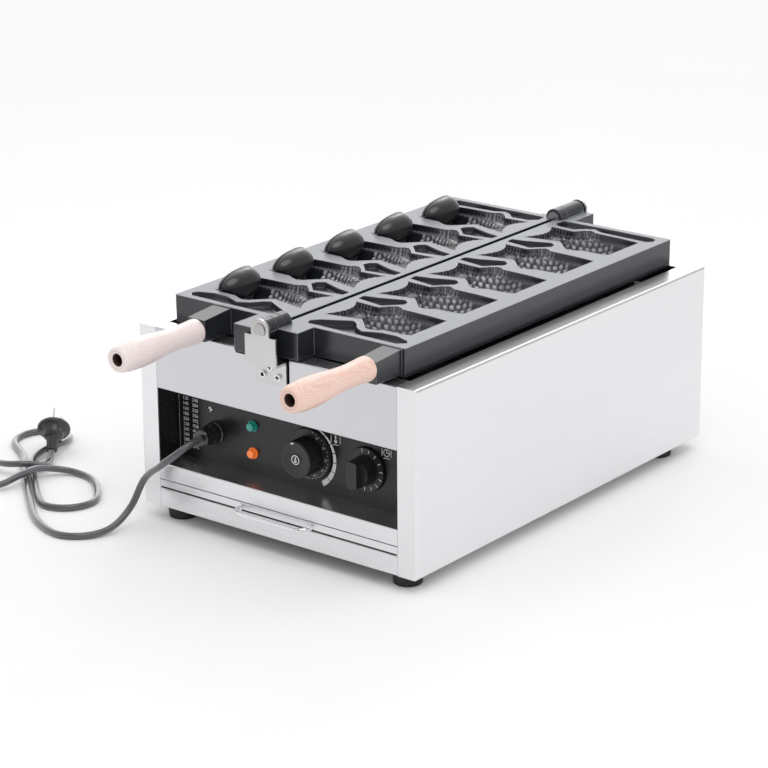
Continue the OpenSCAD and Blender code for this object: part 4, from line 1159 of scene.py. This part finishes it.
@dataclass
class FishMoulds(FishRow):
    """Cast surface of the fish moulds in one plate: wall, rounded lip, fins, body and scales.

    Outlines hold the distance from the hinge and the distance back from a fish's centre. A lip holds the
    distance inwards and the height, and a wall the distance inwards and the share of the depth. Limits in
    fours are where a form begins, is full, begins to fade and ends.
    """

    side: Side = Side.LEFT
    fin_depth: float = 8.0
    head_r: float = 31.5
    tail_r: float = 14.0
    body_start: float = 46.0
    body_full: float = 100.0
    skin: float = 0.22
    fish: tuple[Flat, ...] = (
        (51, -18.4), (61.5, -16), (70, -24), (82, -36.5), (89, -39.5), (97, -37), (105, -32.5), (128, -32),
        (139, -28.5), (139, 34.5), (112, 37), (84, 38), (76, 38.5), (70, 42.5), (64, 43.5), (57, 38),
        (49.5, 28.7))
    fish_step: float = 0.82
    lip: tuple[Flat, ...] = ((-0.9, 0.03), (-0.55, 0.16), (-0.15, 0.2), (0.15, 0.05), (0.3, -0.35))
    # Shares that paint the lip, the scale crests, the gill and eye, the fin rays and the flute ridges light:
    # painted highlight, with some real wear on the scale tips.
    lip_highlight: tuple[float, ...] = (0.35, 0.5, 0.7, 0.5, 0.0)
    wall: tuple[Flat, ...] = ((0.5, 0.3), (0.75, 0.6), (1.05, 0.82), (1.5, 0.94), (1.95, 0.985))
    draft: float = 2.4
    floor_rings: int = 25
    scales_x: tuple[float, ...] = (52, 55, 106, 109)
    scale_start: float = 54.0
    scale_pitch: Flat = (7.2, 7.6)
    scale_rise: float = 3.0
    scale_glint: float = 0.85
    gill_x: float = 112.5
    gill_rise: float = 0.9
    eye_at: Flat = (120.0, 12.0)
    eye_rise: float = 1.6
    face_highlight: float = 0.5
    ray_pitch: float = 5.4
    ray_rise: float = 1.1
    ray_highlight: float = 0.2
    fan_x: float = 58.0
    fan_rays: int = 30
    back_fin_x: tuple[float, ...] = (56, 60, 84, 88)
    back_fin_y: Flat = (36, 39)
    tail_x: Flat = (40, 46)
    flute_pitch: float = 4.6
    flute_depth: float = 2.1
    flute_highlight: float = 0.4
    pocket_step: float = 1.25
    pocket_wall: float = 3.0
    pocket_floor: float = 6.5
    pocket_lip: tuple[Flat, ...] = ((-0.9, 0.03), (-0.55, 0.16), (-0.1, 0.2), (0.3, 0.02), (0.6, -0.5))
    between: tuple[Flat, ...] = (
        (10.5, 41), (9.5, 53), (29, 57), (57, 68), (65, 62), (67, 53), (61, 47.5), (48.5, 34.5))
    in_front: tuple[Flat, ...] = (
        (22, -61), (18, -52), (25, -43), (42, -34), (58, -25), (66, -30), (76, -42), (88, -49), (108, -40),
        (128, -39), (148, -46), (152, -53), (144, -61))
    behind: tuple[Flat, ...] = (
        (14, 61), (12, 46), (22, 37), (46, 36), (56, 46), (66, 51), (78, 45), (112, 43), (144, 42),
        (151, 48), (148, 58), (142, 61))

    def outline(self) -> Array:
        """Outline of one fish, whose tail is a bow with a notch at every second point. A mould with a core
        ends at the core.

        Returns:
            (n, 2) array that runs round anticlockwise and doesn't repeat its first point.
        """
        k = np.arange(17)
        t = k / 16
        tail = np.stack([15 + 11.5 * np.sin(np.pi * t**0.9) + np.where(k % 2 == 0, 0, 1.6), 31 - 57 * t], 1)
        corners = np.vstack([self.fish, tail])
        if self.side is Side.LEFT:
            corners = clip_right(corners, self.core_x - 0.25)
        return even_steps(corners, self.fish_step, 1)

    def radius(self, x: Array) -> Array:
        """Radius of the fish's round body at x: a quarter sine from the tail's to the head's."""
        t = np.clip((x - self.body_start) / (self.body_full - self.body_start), 0, 1)
        return self.tail_r + (self.head_r - self.tail_r) * np.sin(np.pi / 2 * t)

    def scales(self, x: Array, across: Array) -> Array:
        """Rows of rounded scales, every second row set half a scale aside: each stands as the share of an
        ellipse, 1 less the squares of both distances, to the power 0.55.

        Args:
            x: distances from the hinge.
            across: distances from the fish's middle line, which are wrapped round the body.

        Returns:
            Heights from 0 to 1.
        """
        long, wide = self.scale_pitch
        r = self.radius(x)
        row = np.round((x - self.scale_start) / long)
        arc = r * np.arcsin(np.clip(across / r, -1, 1))
        dx = x - self.scale_start - row * long
        dy = (arc + np.where(row % 2 == 0, 0.0, wide / 2) + wide / 2) % wide - wide / 2
        return np.maximum(0.0, 1 - (dx / (0.56 * long)) ** 2 - (dy / (0.54 * wide)) ** 2) ** 0.55

    def floor(self, x: Array, y: Array) -> tuple[Array, Array]:
        """Depth of the mould's floor below the parting plane: the lower of the flat fin level and the
        round body, with scales, a gill and an eye on the body and cosine rays in the fins and the tail.

        Args:
            x: distances from the hinge.
            y: distances from the fish's own centre.

        Returns:
            Heights, negative below the plane, and how far the raised parts are painted light: painted
            highlight, with some real wear on the scale tips.
        """
        across = y - self.lift
        off = np.abs(across)
        r = self.radius(x)
        inside = (x > self.body_start) & (off < r)
        bowl = np.where(inside, self.drop - np.sqrt(np.maximum(r**2 - across**2, 0.0)), 0.0)
        depth = smoothstep(-bowl, self.fin_depth, self.fin_depth + 2.5)
        knob = self.scales(x, across)
        flank = 1 - smoothstep(off, 0.86 * r, 0.95 * r)
        scaled = plateau(x, self.scales_x) * flank
        cheek = 1 - smoothstep(off, 0.6 * r, 0.75 * r)
        gill = np.exp(-(((x - self.gill_x + 0.012 * across**2) / 1.1) ** 2)) * cheek
        eye = np.exp(-(((x - self.eye_at[0]) ** 2 + (across - self.eye_at[1]) ** 2) / 7.0))
        rays = 0.5 + 0.5 * np.cos(2 * np.pi * (x + 0.35 * off) / self.ray_pitch)
        fan = 0.5 + 0.5 * np.cos(np.arctan2(across, x - self.fan_x) * self.fan_rays)
        fins = rays * (1 - depth) * smoothstep(x, 48, 51) + fan * (1 - smoothstep(x, 44, 48))
        body = self.scale_rise * knob * scaled + self.gill_rise * gill + self.eye_rise * eye
        # Scale crests, gill and eye are painted light: painted glints.
        worn = self.scale_glint * smoothstep(knob, 0.62, 0.98) * scaled + self.face_highlight * (gill + eye)
        height = np.minimum(-self.fin_depth, bowl) + body * depth + self.ray_rise * fins
        return height, worn * depth + self.ray_highlight * fins

    def put(self, rings: list[Array], wear: list[Array], at_y: float) -> tuple[Array, Array]:
        """Puts a lining's rings at their place in the plate, with their normals up.

        Args:
            rings: (points, 3) arrays, from the lip inwards.
            wear: how far each of their points is painted light.
            at_y: centre of the fish, from the front face.

        Returns:
            (rings, points, 3) array in millimetres and the (rings, points) array of its painted highlight.
        """
        grid, bright = np.array(rings), np.array(wear)
        grid[..., 0] *= self.side.value
        grid[..., 1] += at_y
        grid[..., 2] += self.parting
        return (grid, bright) if self.side is Side.LEFT else (grid[:, ::-1], bright[:, ::-1])

    def mould(self, at_y: float) -> tuple[Array, Array]:
        """Surface of one mould as rings: from just outside the lip over the rounded edge, down the drafted
        wall, which is fluted at the back fin and the tail, and in to the fish's middle line.

        Args:
            at_y: the fish's centre from the front face.

        Returns:
            (rings, points, 3) array in millimetres and the (rings, points) array of its painted highlight.
        """
        line = self.outline()
        inward = inward_of(line, 3)
        x, y = line.T
        dorsal = smoothstep(y, *self.back_fin_y) * plateau(x, self.back_fin_x)
        tail = 1 - smoothstep(x, *self.tail_x)
        wave = 0.5 - 0.5 * np.cos(2 * np.pi * reach_of(line) / self.flute_pitch)
        ridges = np.maximum(dorsal, 0.7 * tail) * wave
        flute = (self.flute_depth * ridges)[:, None]
        to_body = np.clip(np.abs(y - self.lift) - self.radius(x) + 2.0, self.draft, 8.0)
        inset = evened(np.where(x > 50, to_body, self.draft), 12)[:, None]
        foot = line + inset * inward
        low = self.floor(foot[:, 0], foot[:, 1])[0] + self.skin
        edge = self.lip[-1][1]
        rings = [level(line + out * inward, rise) for out, rise in self.lip]
        for out, share in self.wall:
            flat = line + (out * inset / self.draft + flute) * inward
            rings.append(np.column_stack([flat, edge + (low - edge) * share]))
        # Lips and flute ridges are painted light: painted highlight.
        wear = [np.full(len(line), bright) for bright in self.lip_highlight]
        wear += [self.flute_highlight * ridges**2] * len(self.wall)
        middle = level(np.clip(foot[:, 0], 60, self.core_x - 5)[:, None], self.lift)
        for t in np.linspace(0, 1, self.floor_rings):
            flat = foot + flute * (1 - t) * inward + (middle - foot) * t
            height, bright = self.floor(flat[:, 0], flat[:, 1])
            rings.append(np.column_stack([flat, height + self.skin]))
            wear.append(bright)
        return self.put(rings, wear, at_y)

    def pocket(self, corners: tuple[Flat, ...], at_y: float) -> tuple[Array, Array]:
        """Lining of a relief pocket: a rounded lip, a wall that drops as a quarter sine and a flat floor that
        closes on the line halfway between the pocket's two long sides.

        Args:
            corners: outline, with the y of its fish at 0.
            at_y: that fish's centre from the front face.

        Returns:
            (rings, points, 3) array in millimetres and the (rings, points) array of its painted highlight.
        """
        line = even_steps(np.array(corners), self.pocket_step, 2)
        inward = inward_of(line)
        x = np.linspace(line[:, 0].min() + 4, line[:, 0].max() - 4, 80)
        near = np.abs(line[None, :, 0] - x[:, None]) < 1.2
        high = np.where(near, line[None, :, 1], -1e6).max(1)
        low = np.where(near, line[None, :, 1], 1e6).min(1)
        foot = line + self.pocket_wall * inward
        end_x = np.clip(foot[:, 0], x[0], x[-1])
        middle = np.stack([end_x, np.interp(end_x, x, (high + low) / 2)], 1)
        inner, edge = self.pocket_lip[-1]
        rings = [level(line + out * inward, rise) for out, rise in self.pocket_lip]
        for t in np.linspace(0.2, 1, 6):
            height = edge - (self.pocket_floor + edge) * np.sin(np.pi / 2 * t)
            rings.append(level(line + (inner + (self.pocket_wall - inner) * t) * inward, height))
        rings += [level(foot + (middle - foot) * t, -self.pocket_floor) for t in np.linspace(0.2, 1, 5)]
        wear = [np.full(len(line), bright) for bright in self.lip_highlight]
        wear += [np.zeros(len(line))] * (len(rings) - len(wear))
        return self.put(rings, wear, at_y)

    def build(self) -> Piece:
        """Makes the row of moulds and pockets as one piece that rides on its plate.

        Returns:
            The piece.
        """
        centres = self.centres()
        linings = [self.mould(at_y) for at_y in centres]
        linings += [self.pocket(self.between, at_y) for at_y in centres[:-1]]
        linings += [self.pocket(self.in_front, centres[0]), self.pocket(self.behind, centres[-1])]
        shape = Shape()
        for grid, wear in linings:
            shape.add_grid(grid, wrap_v=True, wear=wear)
        name = self.side.name.lower()
        piece = dress(shape.mesh(f"{name}_fish_moulds"), "cast_lining")
        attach(piece, f"{name}_mould")
        return piece


@dataclass
class MouthCores(FishRow):
    """Five domes across the heads of the left moulds, each with a seam, a rim and a foot in the nose."""

    end_x: float = 138.85
    seat_r: float = 31.35
    halves: Flat = (29.2, 27.6)
    rise: float = 16.5
    lean: float = 0.15
    seam: float = 0.6
    rim: Flat = (132.0, 136.0)
    rim_halves: Flat = (30.6, 29.0)
    rim_rise: float = 16.7
    rim_edges: Flat = (0.4, 2.8)
    foot_edges: Flat = (0.5, 0.5)

    def arch(self, halves: Flat, rise: float, steps: int) -> Array:
        """Half outline of a core: at angle a it reaches half * cos(a)^(2/n) across and stands
        rise * sin(a)^(2/n) high, more behind and less in front by the share lean at the ends, with n 2.3 in
        front and 3.0 behind, which is squarer.

        Args:
            halves: reach to the front and to the back.
            rise: height.
            steps: number of points.

        Returns:
            (steps, 2) array of height and place across, from back to front.
        """
        a = np.linspace(0, np.pi, steps)
        c, s = np.cos(a), np.maximum(np.sin(a), 0.0)
        power = np.where(c > 0, 2 / 3.0, 2 / 2.3)
        half = np.where(c > 0, halves[1], halves[0])
        across = np.sign(c) * np.abs(c) ** power
        return np.stack([rise * s**power * (1 + self.lean * across), half * across], 1)

    def dome(self) -> Array:
        """Grid of the dome: its arch turned about the line across the fish, and flat behind the seam.

        Returns:
            (points across, points round, 3) array.
        """
        arch = self.arch(self.halves, self.rise, 65)
        b = np.linspace(0, 2 * np.pi, 72, endpoint=False)
        x = self.core_x - arch[:, :1] * np.cos(b)
        y = np.broadcast_to(arch[:, 1:] + self.lift, x.shape)
        return np.stack([np.minimum(x, self.rim[0] - self.seam), y, arch[:, :1] * np.sin(b)], -1)

    def slab(self, outline: Array, centre: Flat, ends: Flat, soft: Flat) -> Array:
        """Grid of a plate between two ends: its outline shrinks towards its centre in a quarter circle.

        Args:
            outline: (n, 2) array of place across and height.
            centre: place across and height that both end faces close on.
            ends: x of the two end faces.
            soft: radius of the rounded edge at each end.

        Returns:
            (10, n, 3) array.
        """
        middle = np.array(centre)
        away = outline - middle
        unit = away / np.maximum(np.linalg.norm(away, axis=1, keepdims=True), 1e-6)
        a = np.radians([0, 30, 60, 90])
        inset = np.r_[soft[0] * (1 - np.sin(a)), soft[1] * (1 - np.sin(a[::-1]))]
        x = np.r_[ends[0] + soft[0] * (1 - np.cos(a)), ends[1] - soft[1] * (1 - np.cos(a[::-1]))]
        rows = []
        for gap, at in [(None, ends[0]), *zip(inset, x), (None, ends[1])]:
            flat = np.broadcast_to(middle, outline.shape) if gap is None else outline - gap * unit
            rows.append(np.column_stack([np.full(len(outline), at), flat]))
        return np.array(rows)

    def core(self) -> list[Array]:
        """Works out one core: its dome, the rim behind the seam and the foot, a segment of the nose's circle.

        Returns:
            The grids of the dome, the rim and the foot.
        """
        arch = self.arch(self.rim_halves, self.rim_rise, 49)
        base = np.linspace(-self.rim_halves[0], self.rim_halves[1], 24)[1:-1]
        rim = np.vstack([arch[:, ::-1], level(base[:, None], -0.6)])
        half = math.sqrt(self.seat_r**2 - self.drop**2)
        dip = np.arctan2(-self.drop, half)
        turn = np.linspace(dip, -np.pi - dip, 60)
        under = np.stack([self.seat_r * np.cos(turn), self.drop + self.seat_r * np.sin(turn)], 1)
        chord = np.linspace(-half, half, 32)[1:-1]
        foot = np.vstack([under, level(chord[:, None], 0.0)])
        shift = np.array([self.lift, 0.0])
        return [self.dome(), self.slab(rim + shift, (self.lift, 6.0), self.rim, self.rim_edges),
                self.slab(foot + shift, (self.lift, -10.0), (self.core_x, self.end_x), self.foot_edges)]

    def build(self) -> Piece:
        """Makes the row of cores, which rides on the left plate.

        Returns:
            The piece.
        """
        shape = Shape()
        mirror = np.array([-1.0, 1.0, 1.0])
        for at_y in self.centres():
            for grid in self.core():
                shape.add_grid(grid * mirror + np.array([0.0, at_y, self.parting]), wrap_v=True)
        piece = dress(shape.mesh("mouth_core_domes", merge=0.005), "cast_core")
        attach(piece, "left_mould")
        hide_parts("mouth_cores")
        return piece


class Ink:
    """Thin raised marks on flat faces that look to the front."""

    def __init__(self, face_y: float, film: float = 0.15) -> None:
        """Starts with no marks.

        Args:
            face_y: distance of the first face behind the housing's front face.
            film: thickness of the marks.
        """
        self.film = film
        self.shape = Shape()
        self.move(face_y)

    def move(self, face_y: float) -> None:
        """Goes on to another face, a hair in front of it."""
        self.face = face_y - HAIR

    def swept(self, centre: Flat, angles: Array, inner: Array | float, outer: Array | float) -> Array:
        """Grid of a thin four-sided section carried round a centre.

        Args:
            centre: x and z of the centre.
            angles: falling angles in degrees, counted from the right and turning up.
            inner: inner radius, for all the angles or for each.
            outer: outer radius, for all the angles or for each.

        Returns:
            (angles, 4, 3) array.
        """
        a = np.radians(angles)
        ring = np.stack([np.cos(a), np.zeros_like(a), np.sin(a)], 1)
        rows = []
        for radius, out in ((inner, 0.0), (outer, 0.0), (outer, self.film), (inner, self.film)):
            middle = np.array([centre[0], self.face - out, centre[1]])
            rows.append(middle + np.asarray(radius)[..., None] * ring)
        return np.stack(rows, 1)

    def ring(self, centre: Flat, inner: float, outer: float, sides: int = 32) -> None:
        """Adds a ring."""
        angles = np.linspace(360, 0, sides, endpoint=False)
        self.shape.add_grid(self.swept(centre, angles, inner, outer), wrap_u=True, wrap_v=True)

    def dot(self, centre: Flat, radius: float) -> None:
        """Adds a round dot, as a ring whose hole is too small to see."""
        self.ring(centre, radius * 0.02, radius, 12)

    def bar(self, middle: Flat, angle: float, length: float, width: float) -> None:
        """Adds a straight bar.

        Args:
            middle: x and z of its middle.
            angle: its turn in degrees.
            length: its length.
            width: its width.
        """
        a = math.radians(angle)
        u, v = np.array([math.cos(a), 0, math.sin(a)]), np.array([-math.sin(a), 0, math.cos(a)])
        flat = [s * length / 2 * u + t * width / 2 * v for s, t in ((-1, -1), (1, -1), (1, 1), (-1, 1))]
        base = np.array(flat) + np.array([middle[0], self.face, middle[1]])
        top = base - np.array([0, self.film, 0])
        sides = [(k, (k + 1) % 4, (k + 1) % 4 + 4, k + 4) for k in range(4)]
        self.shape.add(np.vstack([base, top]), [(3, 2, 1, 0), (4, 5, 6, 7), *sides])

    def number(self, words: str, middle: Flat, size: float, turn: float = 0.0) -> None:
        """Adds a number, centred.

        Args:
            words: its figures.
            middle: x and z of its middle.
            size: height of a line.
            turn: its turn in the face, in degrees.
        """
        curve = bpy.data.curves.new("number", "FONT")
        curve.body, curve.size, curve.extrude = words, size, self.film / 2
        curve.align_x, curve.align_y, curve.resolution_u = "CENTER", "CENTER", 3
        text = bring("number", curve)
        mesh = bpy.data.meshes.new_from_object(text.evaluated_get(bpy.context.evaluated_depsgraph_get()))
        co = np.zeros(len(mesh.vertices) * 3)
        mesh.vertices.foreach_get("co", co)
        across, up, out = co.reshape(-1, 3).T
        a = math.radians(turn)
        x = middle[0] + across * math.cos(a) - up * math.sin(a)
        z = middle[1] + across * math.sin(a) + up * math.cos(a)
        points = np.stack([x, self.face - self.film / 2 - out, z], 1)
        self.shape.add(points, [tuple(p.vertices) for p in mesh.polygons])
        bpy.data.objects.remove(text)
        bpy.data.meshes.remove(mesh)

    def print(self, name: str, body: str) -> Piece:
        """Makes the marks one piece.

        Args:
            name: name of the piece.
            body: what it rides on.

        Returns:
            The piece.
        """
        piece = dress(self.shape.mesh(name, smooth=False), "mark_white")
        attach(piece, body)
        return piece


@dataclass
class ControlMarks:
    """White marks: number table and scale on the panel, dots and numbers on the two dials.

    A column of the table holds its place across, its first number and its step.
    """

    panel_y: float = 36.0
    skirt_y: float = 32.0
    cap_y: float = 9.0
    boss_y: float = 9.8
    film: float = 0.12
    temp: Flat = (22.0, 114.0)
    timer: Flat = (101.0, 114.0)
    columns: tuple[tuple[float, int, int], ...] = ((-160.5, 100, 20), (-146.5, 212, 36))
    table_z: float = 146.0
    table_pitch: float = 6.2
    table_rows: int = 11
    heat_sign: Flat = (57.6, 138.0)
    time_sign: Flat = (127.7, 138.0)

    def panel(self) -> Piece:
        """Prints the number table, the crescent scale, whose outer edge rises as its share to the power 0.8,
        and two plain framed signs on the panel.

        Returns:
            The piece.
        """
        ink = Ink(self.panel_y)
        for i in range(self.table_rows):
            for x, start, step in self.columns:
                ink.number(str(start + step * i), (x, self.table_z - i * self.table_pitch), 5.8)
        start, end, parts, points = 68, -64, 7, 12
        angles = np.linspace(start, end, parts * points + 1)
        for part in range(parts):
            a = angles[points * part:points * part + points]
            t = (start - a) / (start - end)
            crescent = ink.swept(self.temp, a, 31.3 + 1.2 * t, 32.3 + 1.2 * t + 5.2 * t**0.8)
            ink.shape.add_bar(crescent, turned_in=True)
        for sign in (self.heat_sign, self.time_sign):
            for turn in (0, 90, 180, 270):
                ink.bar(around(sign, 6.2, turn), turn + 90, 8.2, 0.7)
        x, z = self.heat_sign
        ink.bar((x, z + 1.6), 90, 6.0, 1.7)
        ink.dot((x, z - 2.2), 2.1)
        x, z = self.time_sign
        ink.ring(self.time_sign, 3.6, 4.3)
        ink.bar((x, z + 1.4), 90, 3.2, 0.8)
        ink.bar((x + 1.2, z), 0, 2.6, 0.8)
        ink.bar((-170.5, 114), 90, 72, 0.45)
        return ink.print("panel_marks", "housing")

    def temperature(self) -> Piece:
        """Prints dots and numbers on the temperature dial's skirt, and the pointer on its boss and cap.

        Returns:
            The piece.
        """
        x, z = self.temp
        ink = Ink(self.skirt_y, self.film)
        for k in range(28):
            ink.dot(around(self.temp, 27.6, 75 - k * 9.6), 0.5)
        for k in range(8):
            turn = 60 - k * 32
            ink.number(str(50 + 35 * k), around(self.temp, 24.2, turn), 3.2, turn - 90)
        ink.move(self.boss_y)
        ink.ring(self.temp, 4.6, 5.5)
        ink.bar((x, z + 1.0), 90, 4.6, 1.4)
        ink.dot((x, z - 1.6), 1.7)
        ink.move(self.cap_y)
        for turn in (97, 101, 105):
            ink.bar(around(self.temp, 18.9, turn), turn, 1.8, 1.4)
        return ink.print("temperature_dial_marks", "temperature_dial")

    def minutes(self) -> Piece:
        """Prints ticks on the timer dial's skirt.

        Returns:
            The piece.
        """
        ink = Ink(self.skirt_y, self.film)
        for k in range(11):
            turn = 100 - k * 24
            ink.bar(around(self.timer, 21.8, turn), turn, 4.4, 0.8)
        return ink.print("timer_dial_marks", "timer_dial")

    def build(self) -> list[Piece]:
        """Prints all the marks and returns their pieces."""
        return [self.panel(), self.temperature(), self.minutes()]


# Studio


@dataclass
class Studio:
    """Camera, pale floor and soft light.

    The camera's place is an angle round the upright, a height and a roll in degrees, with its distance and
    its shift to the right and up measured from the middle of the housing's lower front edge. A lamp holds
    its name, strength and width, and the heading and height that it shines from, in degrees.
    """

    azimuth: float = 38.15
    elevation: float = 19.04
    roll: float = -0.40
    focal_px: float = 2825.38
    picture_px: float = 768.0
    sensor: float = 36.0
    distance: float = 3112.22
    shift: Flat = (119.18, 171.8)
    aim_z: float = 18.0
    floor_half: float = 9000.0
    floor_tone: Color = (0.94, 0.94, 0.942)
    backdrop: Color = (0.962, 0.962, 0.965)
    white: Color = (1.0, 1.0, 1.0)
    glow_way: Point = (-0.58, 0.74, 0.34)
    suns: tuple[tuple[str, float, float, float, float], ...] = (
        ("key", 0.93, 50, 70, 62), ("fill", 0.45, 80, -60, 40), ("back", 0.14, 12, 205, 38))

    def camera(self) -> None:
        """Sets the camera where the photograph was taken."""
        axes = facing(self.azimuth, self.elevation, self.roll)
        right, up, back = axes
        at = back * self.distance + right * self.shift[0] + up * self.shift[1] + np.array([0, 0, self.aim_z])
        data = bpy.data.cameras.new("camera")
        data.sensor_width = self.sensor
        data.lens = self.focal_px * self.sensor / self.picture_px
        data.clip_end = 60.0
        camera = bring("camera", data)
        aim(camera, axes, place(at))
        bpy.context.scene.camera = camera

    def floor(self) -> None:
        """Lays a pale sheet of paper a hair below the feet, faintly clouded and painted a little darker far
        away, a painted shade.
        """
        n = np.linspace(-self.floor_half, self.floor_half, 9)
        x, y = np.meshgrid(n, n, indexing="ij")
        shape = Shape()
        shape.add_grid(np.stack([x, y, np.full_like(x, -HAIR)], -1)[:, ::-1])
        sheet = shape.mesh("floor")
        material = bpy.data.materials.new("floor_paper")
        material.use_nodes = True
        material.node_tree.nodes.clear()
        g = Graph(material.node_tree)
        place_of = g.node("ShaderNodeTexCoord").outputs["Object"]
        cloud = g.scaled(g.noise(place_of, 1.7, 3.0), (0.3, 0.7), (0.985, 1.0))
        away = g.node("ShaderNodeVectorMath", {0: place_of}, operation="LENGTH").outputs["Value"]
        # Darker far from the middle: painted shade.
        painted_falloff = g.scaled(away, (0.7, 2.4), (1.0, 0.94), interpolation_type="SMOOTHSTEP")
        shader = g.node("ShaderNodeBsdfPrincipled", {
            "Base Color": g.shade(self.floor_tone, g.math("MULTIPLY", cloud, painted_falloff)), "Roughness": 0.9,
            "Specular IOR Level": 0.0})
        g.node("ShaderNodeOutputMaterial", {"Surface": shader.outputs[0]})
        sheet.data.materials.append(material)

    def world(self) -> None:
        """Lights the room from all round, a little stronger from the right and from above. What mirrors the
        room sees it brightest behind on the left, and the camera sees a plain pale backdrop."""
        world = bpy.data.worlds.new("studio")
        bpy.context.scene.world = world
        world.use_nodes = True
        world.node_tree.nodes.clear()
        g = Graph(world.node_tree)
        way = g.node("ShaderNodeTexCoord").outputs["Generated"]
        split = g.node("ShaderNodeSeparateXYZ", {0: way}).outputs
        even = g.math("MULTIPLY_ADD", split[0], 0.16, g.math("MULTIPLY_ADD", split[2], 0.12, 0.63))
        glow = g.math("POWER", g.math("MAXIMUM", g.toward(way, self.glow_way), 0.0), 3.0)
        shine = g.math("MULTIPLY_ADD", glow, 1.6, 0.4)
        light, mirrored, plain = (
            g.node("ShaderNodeBackground", {"Color": color, "Strength": strength}).outputs[0]
            for color, strength in ((self.white, even), (self.white, shine), (self.backdrop, 1.0)))
        rays = g.node("ShaderNodeLightPath").outputs
        sharp = g.math("MAXIMUM", rays["Is Glossy Ray"], rays["Is Transmission Ray"])
        lit = g.node("ShaderNodeMixShader", {0: sharp, 1: light, 2: mirrored}).outputs[0]
        seen = g.node("ShaderNodeMixShader", {0: rays["Is Camera Ray"], 1: lit, 2: plain}).outputs[0]
        g.node("ShaderNodeOutputWorld", {"Surface": seen})

    def lamps(self) -> None:
        """Adds two wide suns, which light the floor evenly and keep soft shadows, and a narrower one behind,
        which glints in the moulds."""
        for name, strength, width, heading, height in self.suns:
            data = bpy.data.lights.new(name, "SUN")
            data.energy = strength
            data.angle = math.radians(width)
            aim(bring(name, data), facing(heading, height), np.zeros(3))

    def build(self) -> None:
        """Sets up the camera, the floor and the light, and plain colour management."""
        self.camera()
        self.floor()
        self.world()
        self.lamps()
        bpy.context.scene.view_settings.view_transform = "Standard"


def main() -> None:
    """Builds the sub-assemblies in order and reports each piece."""
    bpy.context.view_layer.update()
    Studio().build()
    log.info("dressed %d nodes of the frame", Housing().dress())
    pieces = MainsLead().build()
    pieces += [Louvres().build(), RearShadeBaffles().build(), ScrewRecessShade().build(), TrayGapShade().build()]
    pieces += TurnedGrip("left_grip", "pale_wood", "left_mould", -92.0, 247.0).build()
    pieces += TurnedGrip("right_grip", "peach_wood", "right_mould", 145.0, 252.0).build()
    pieces += [FishMoulds(side=side).build() for side in Side]
    pieces.append(MouthCores().build())
    pieces += ControlMarks().build()
    for piece in pieces:
        log.info("made %s", piece.name)


if __name__ == "__main__":
    main()
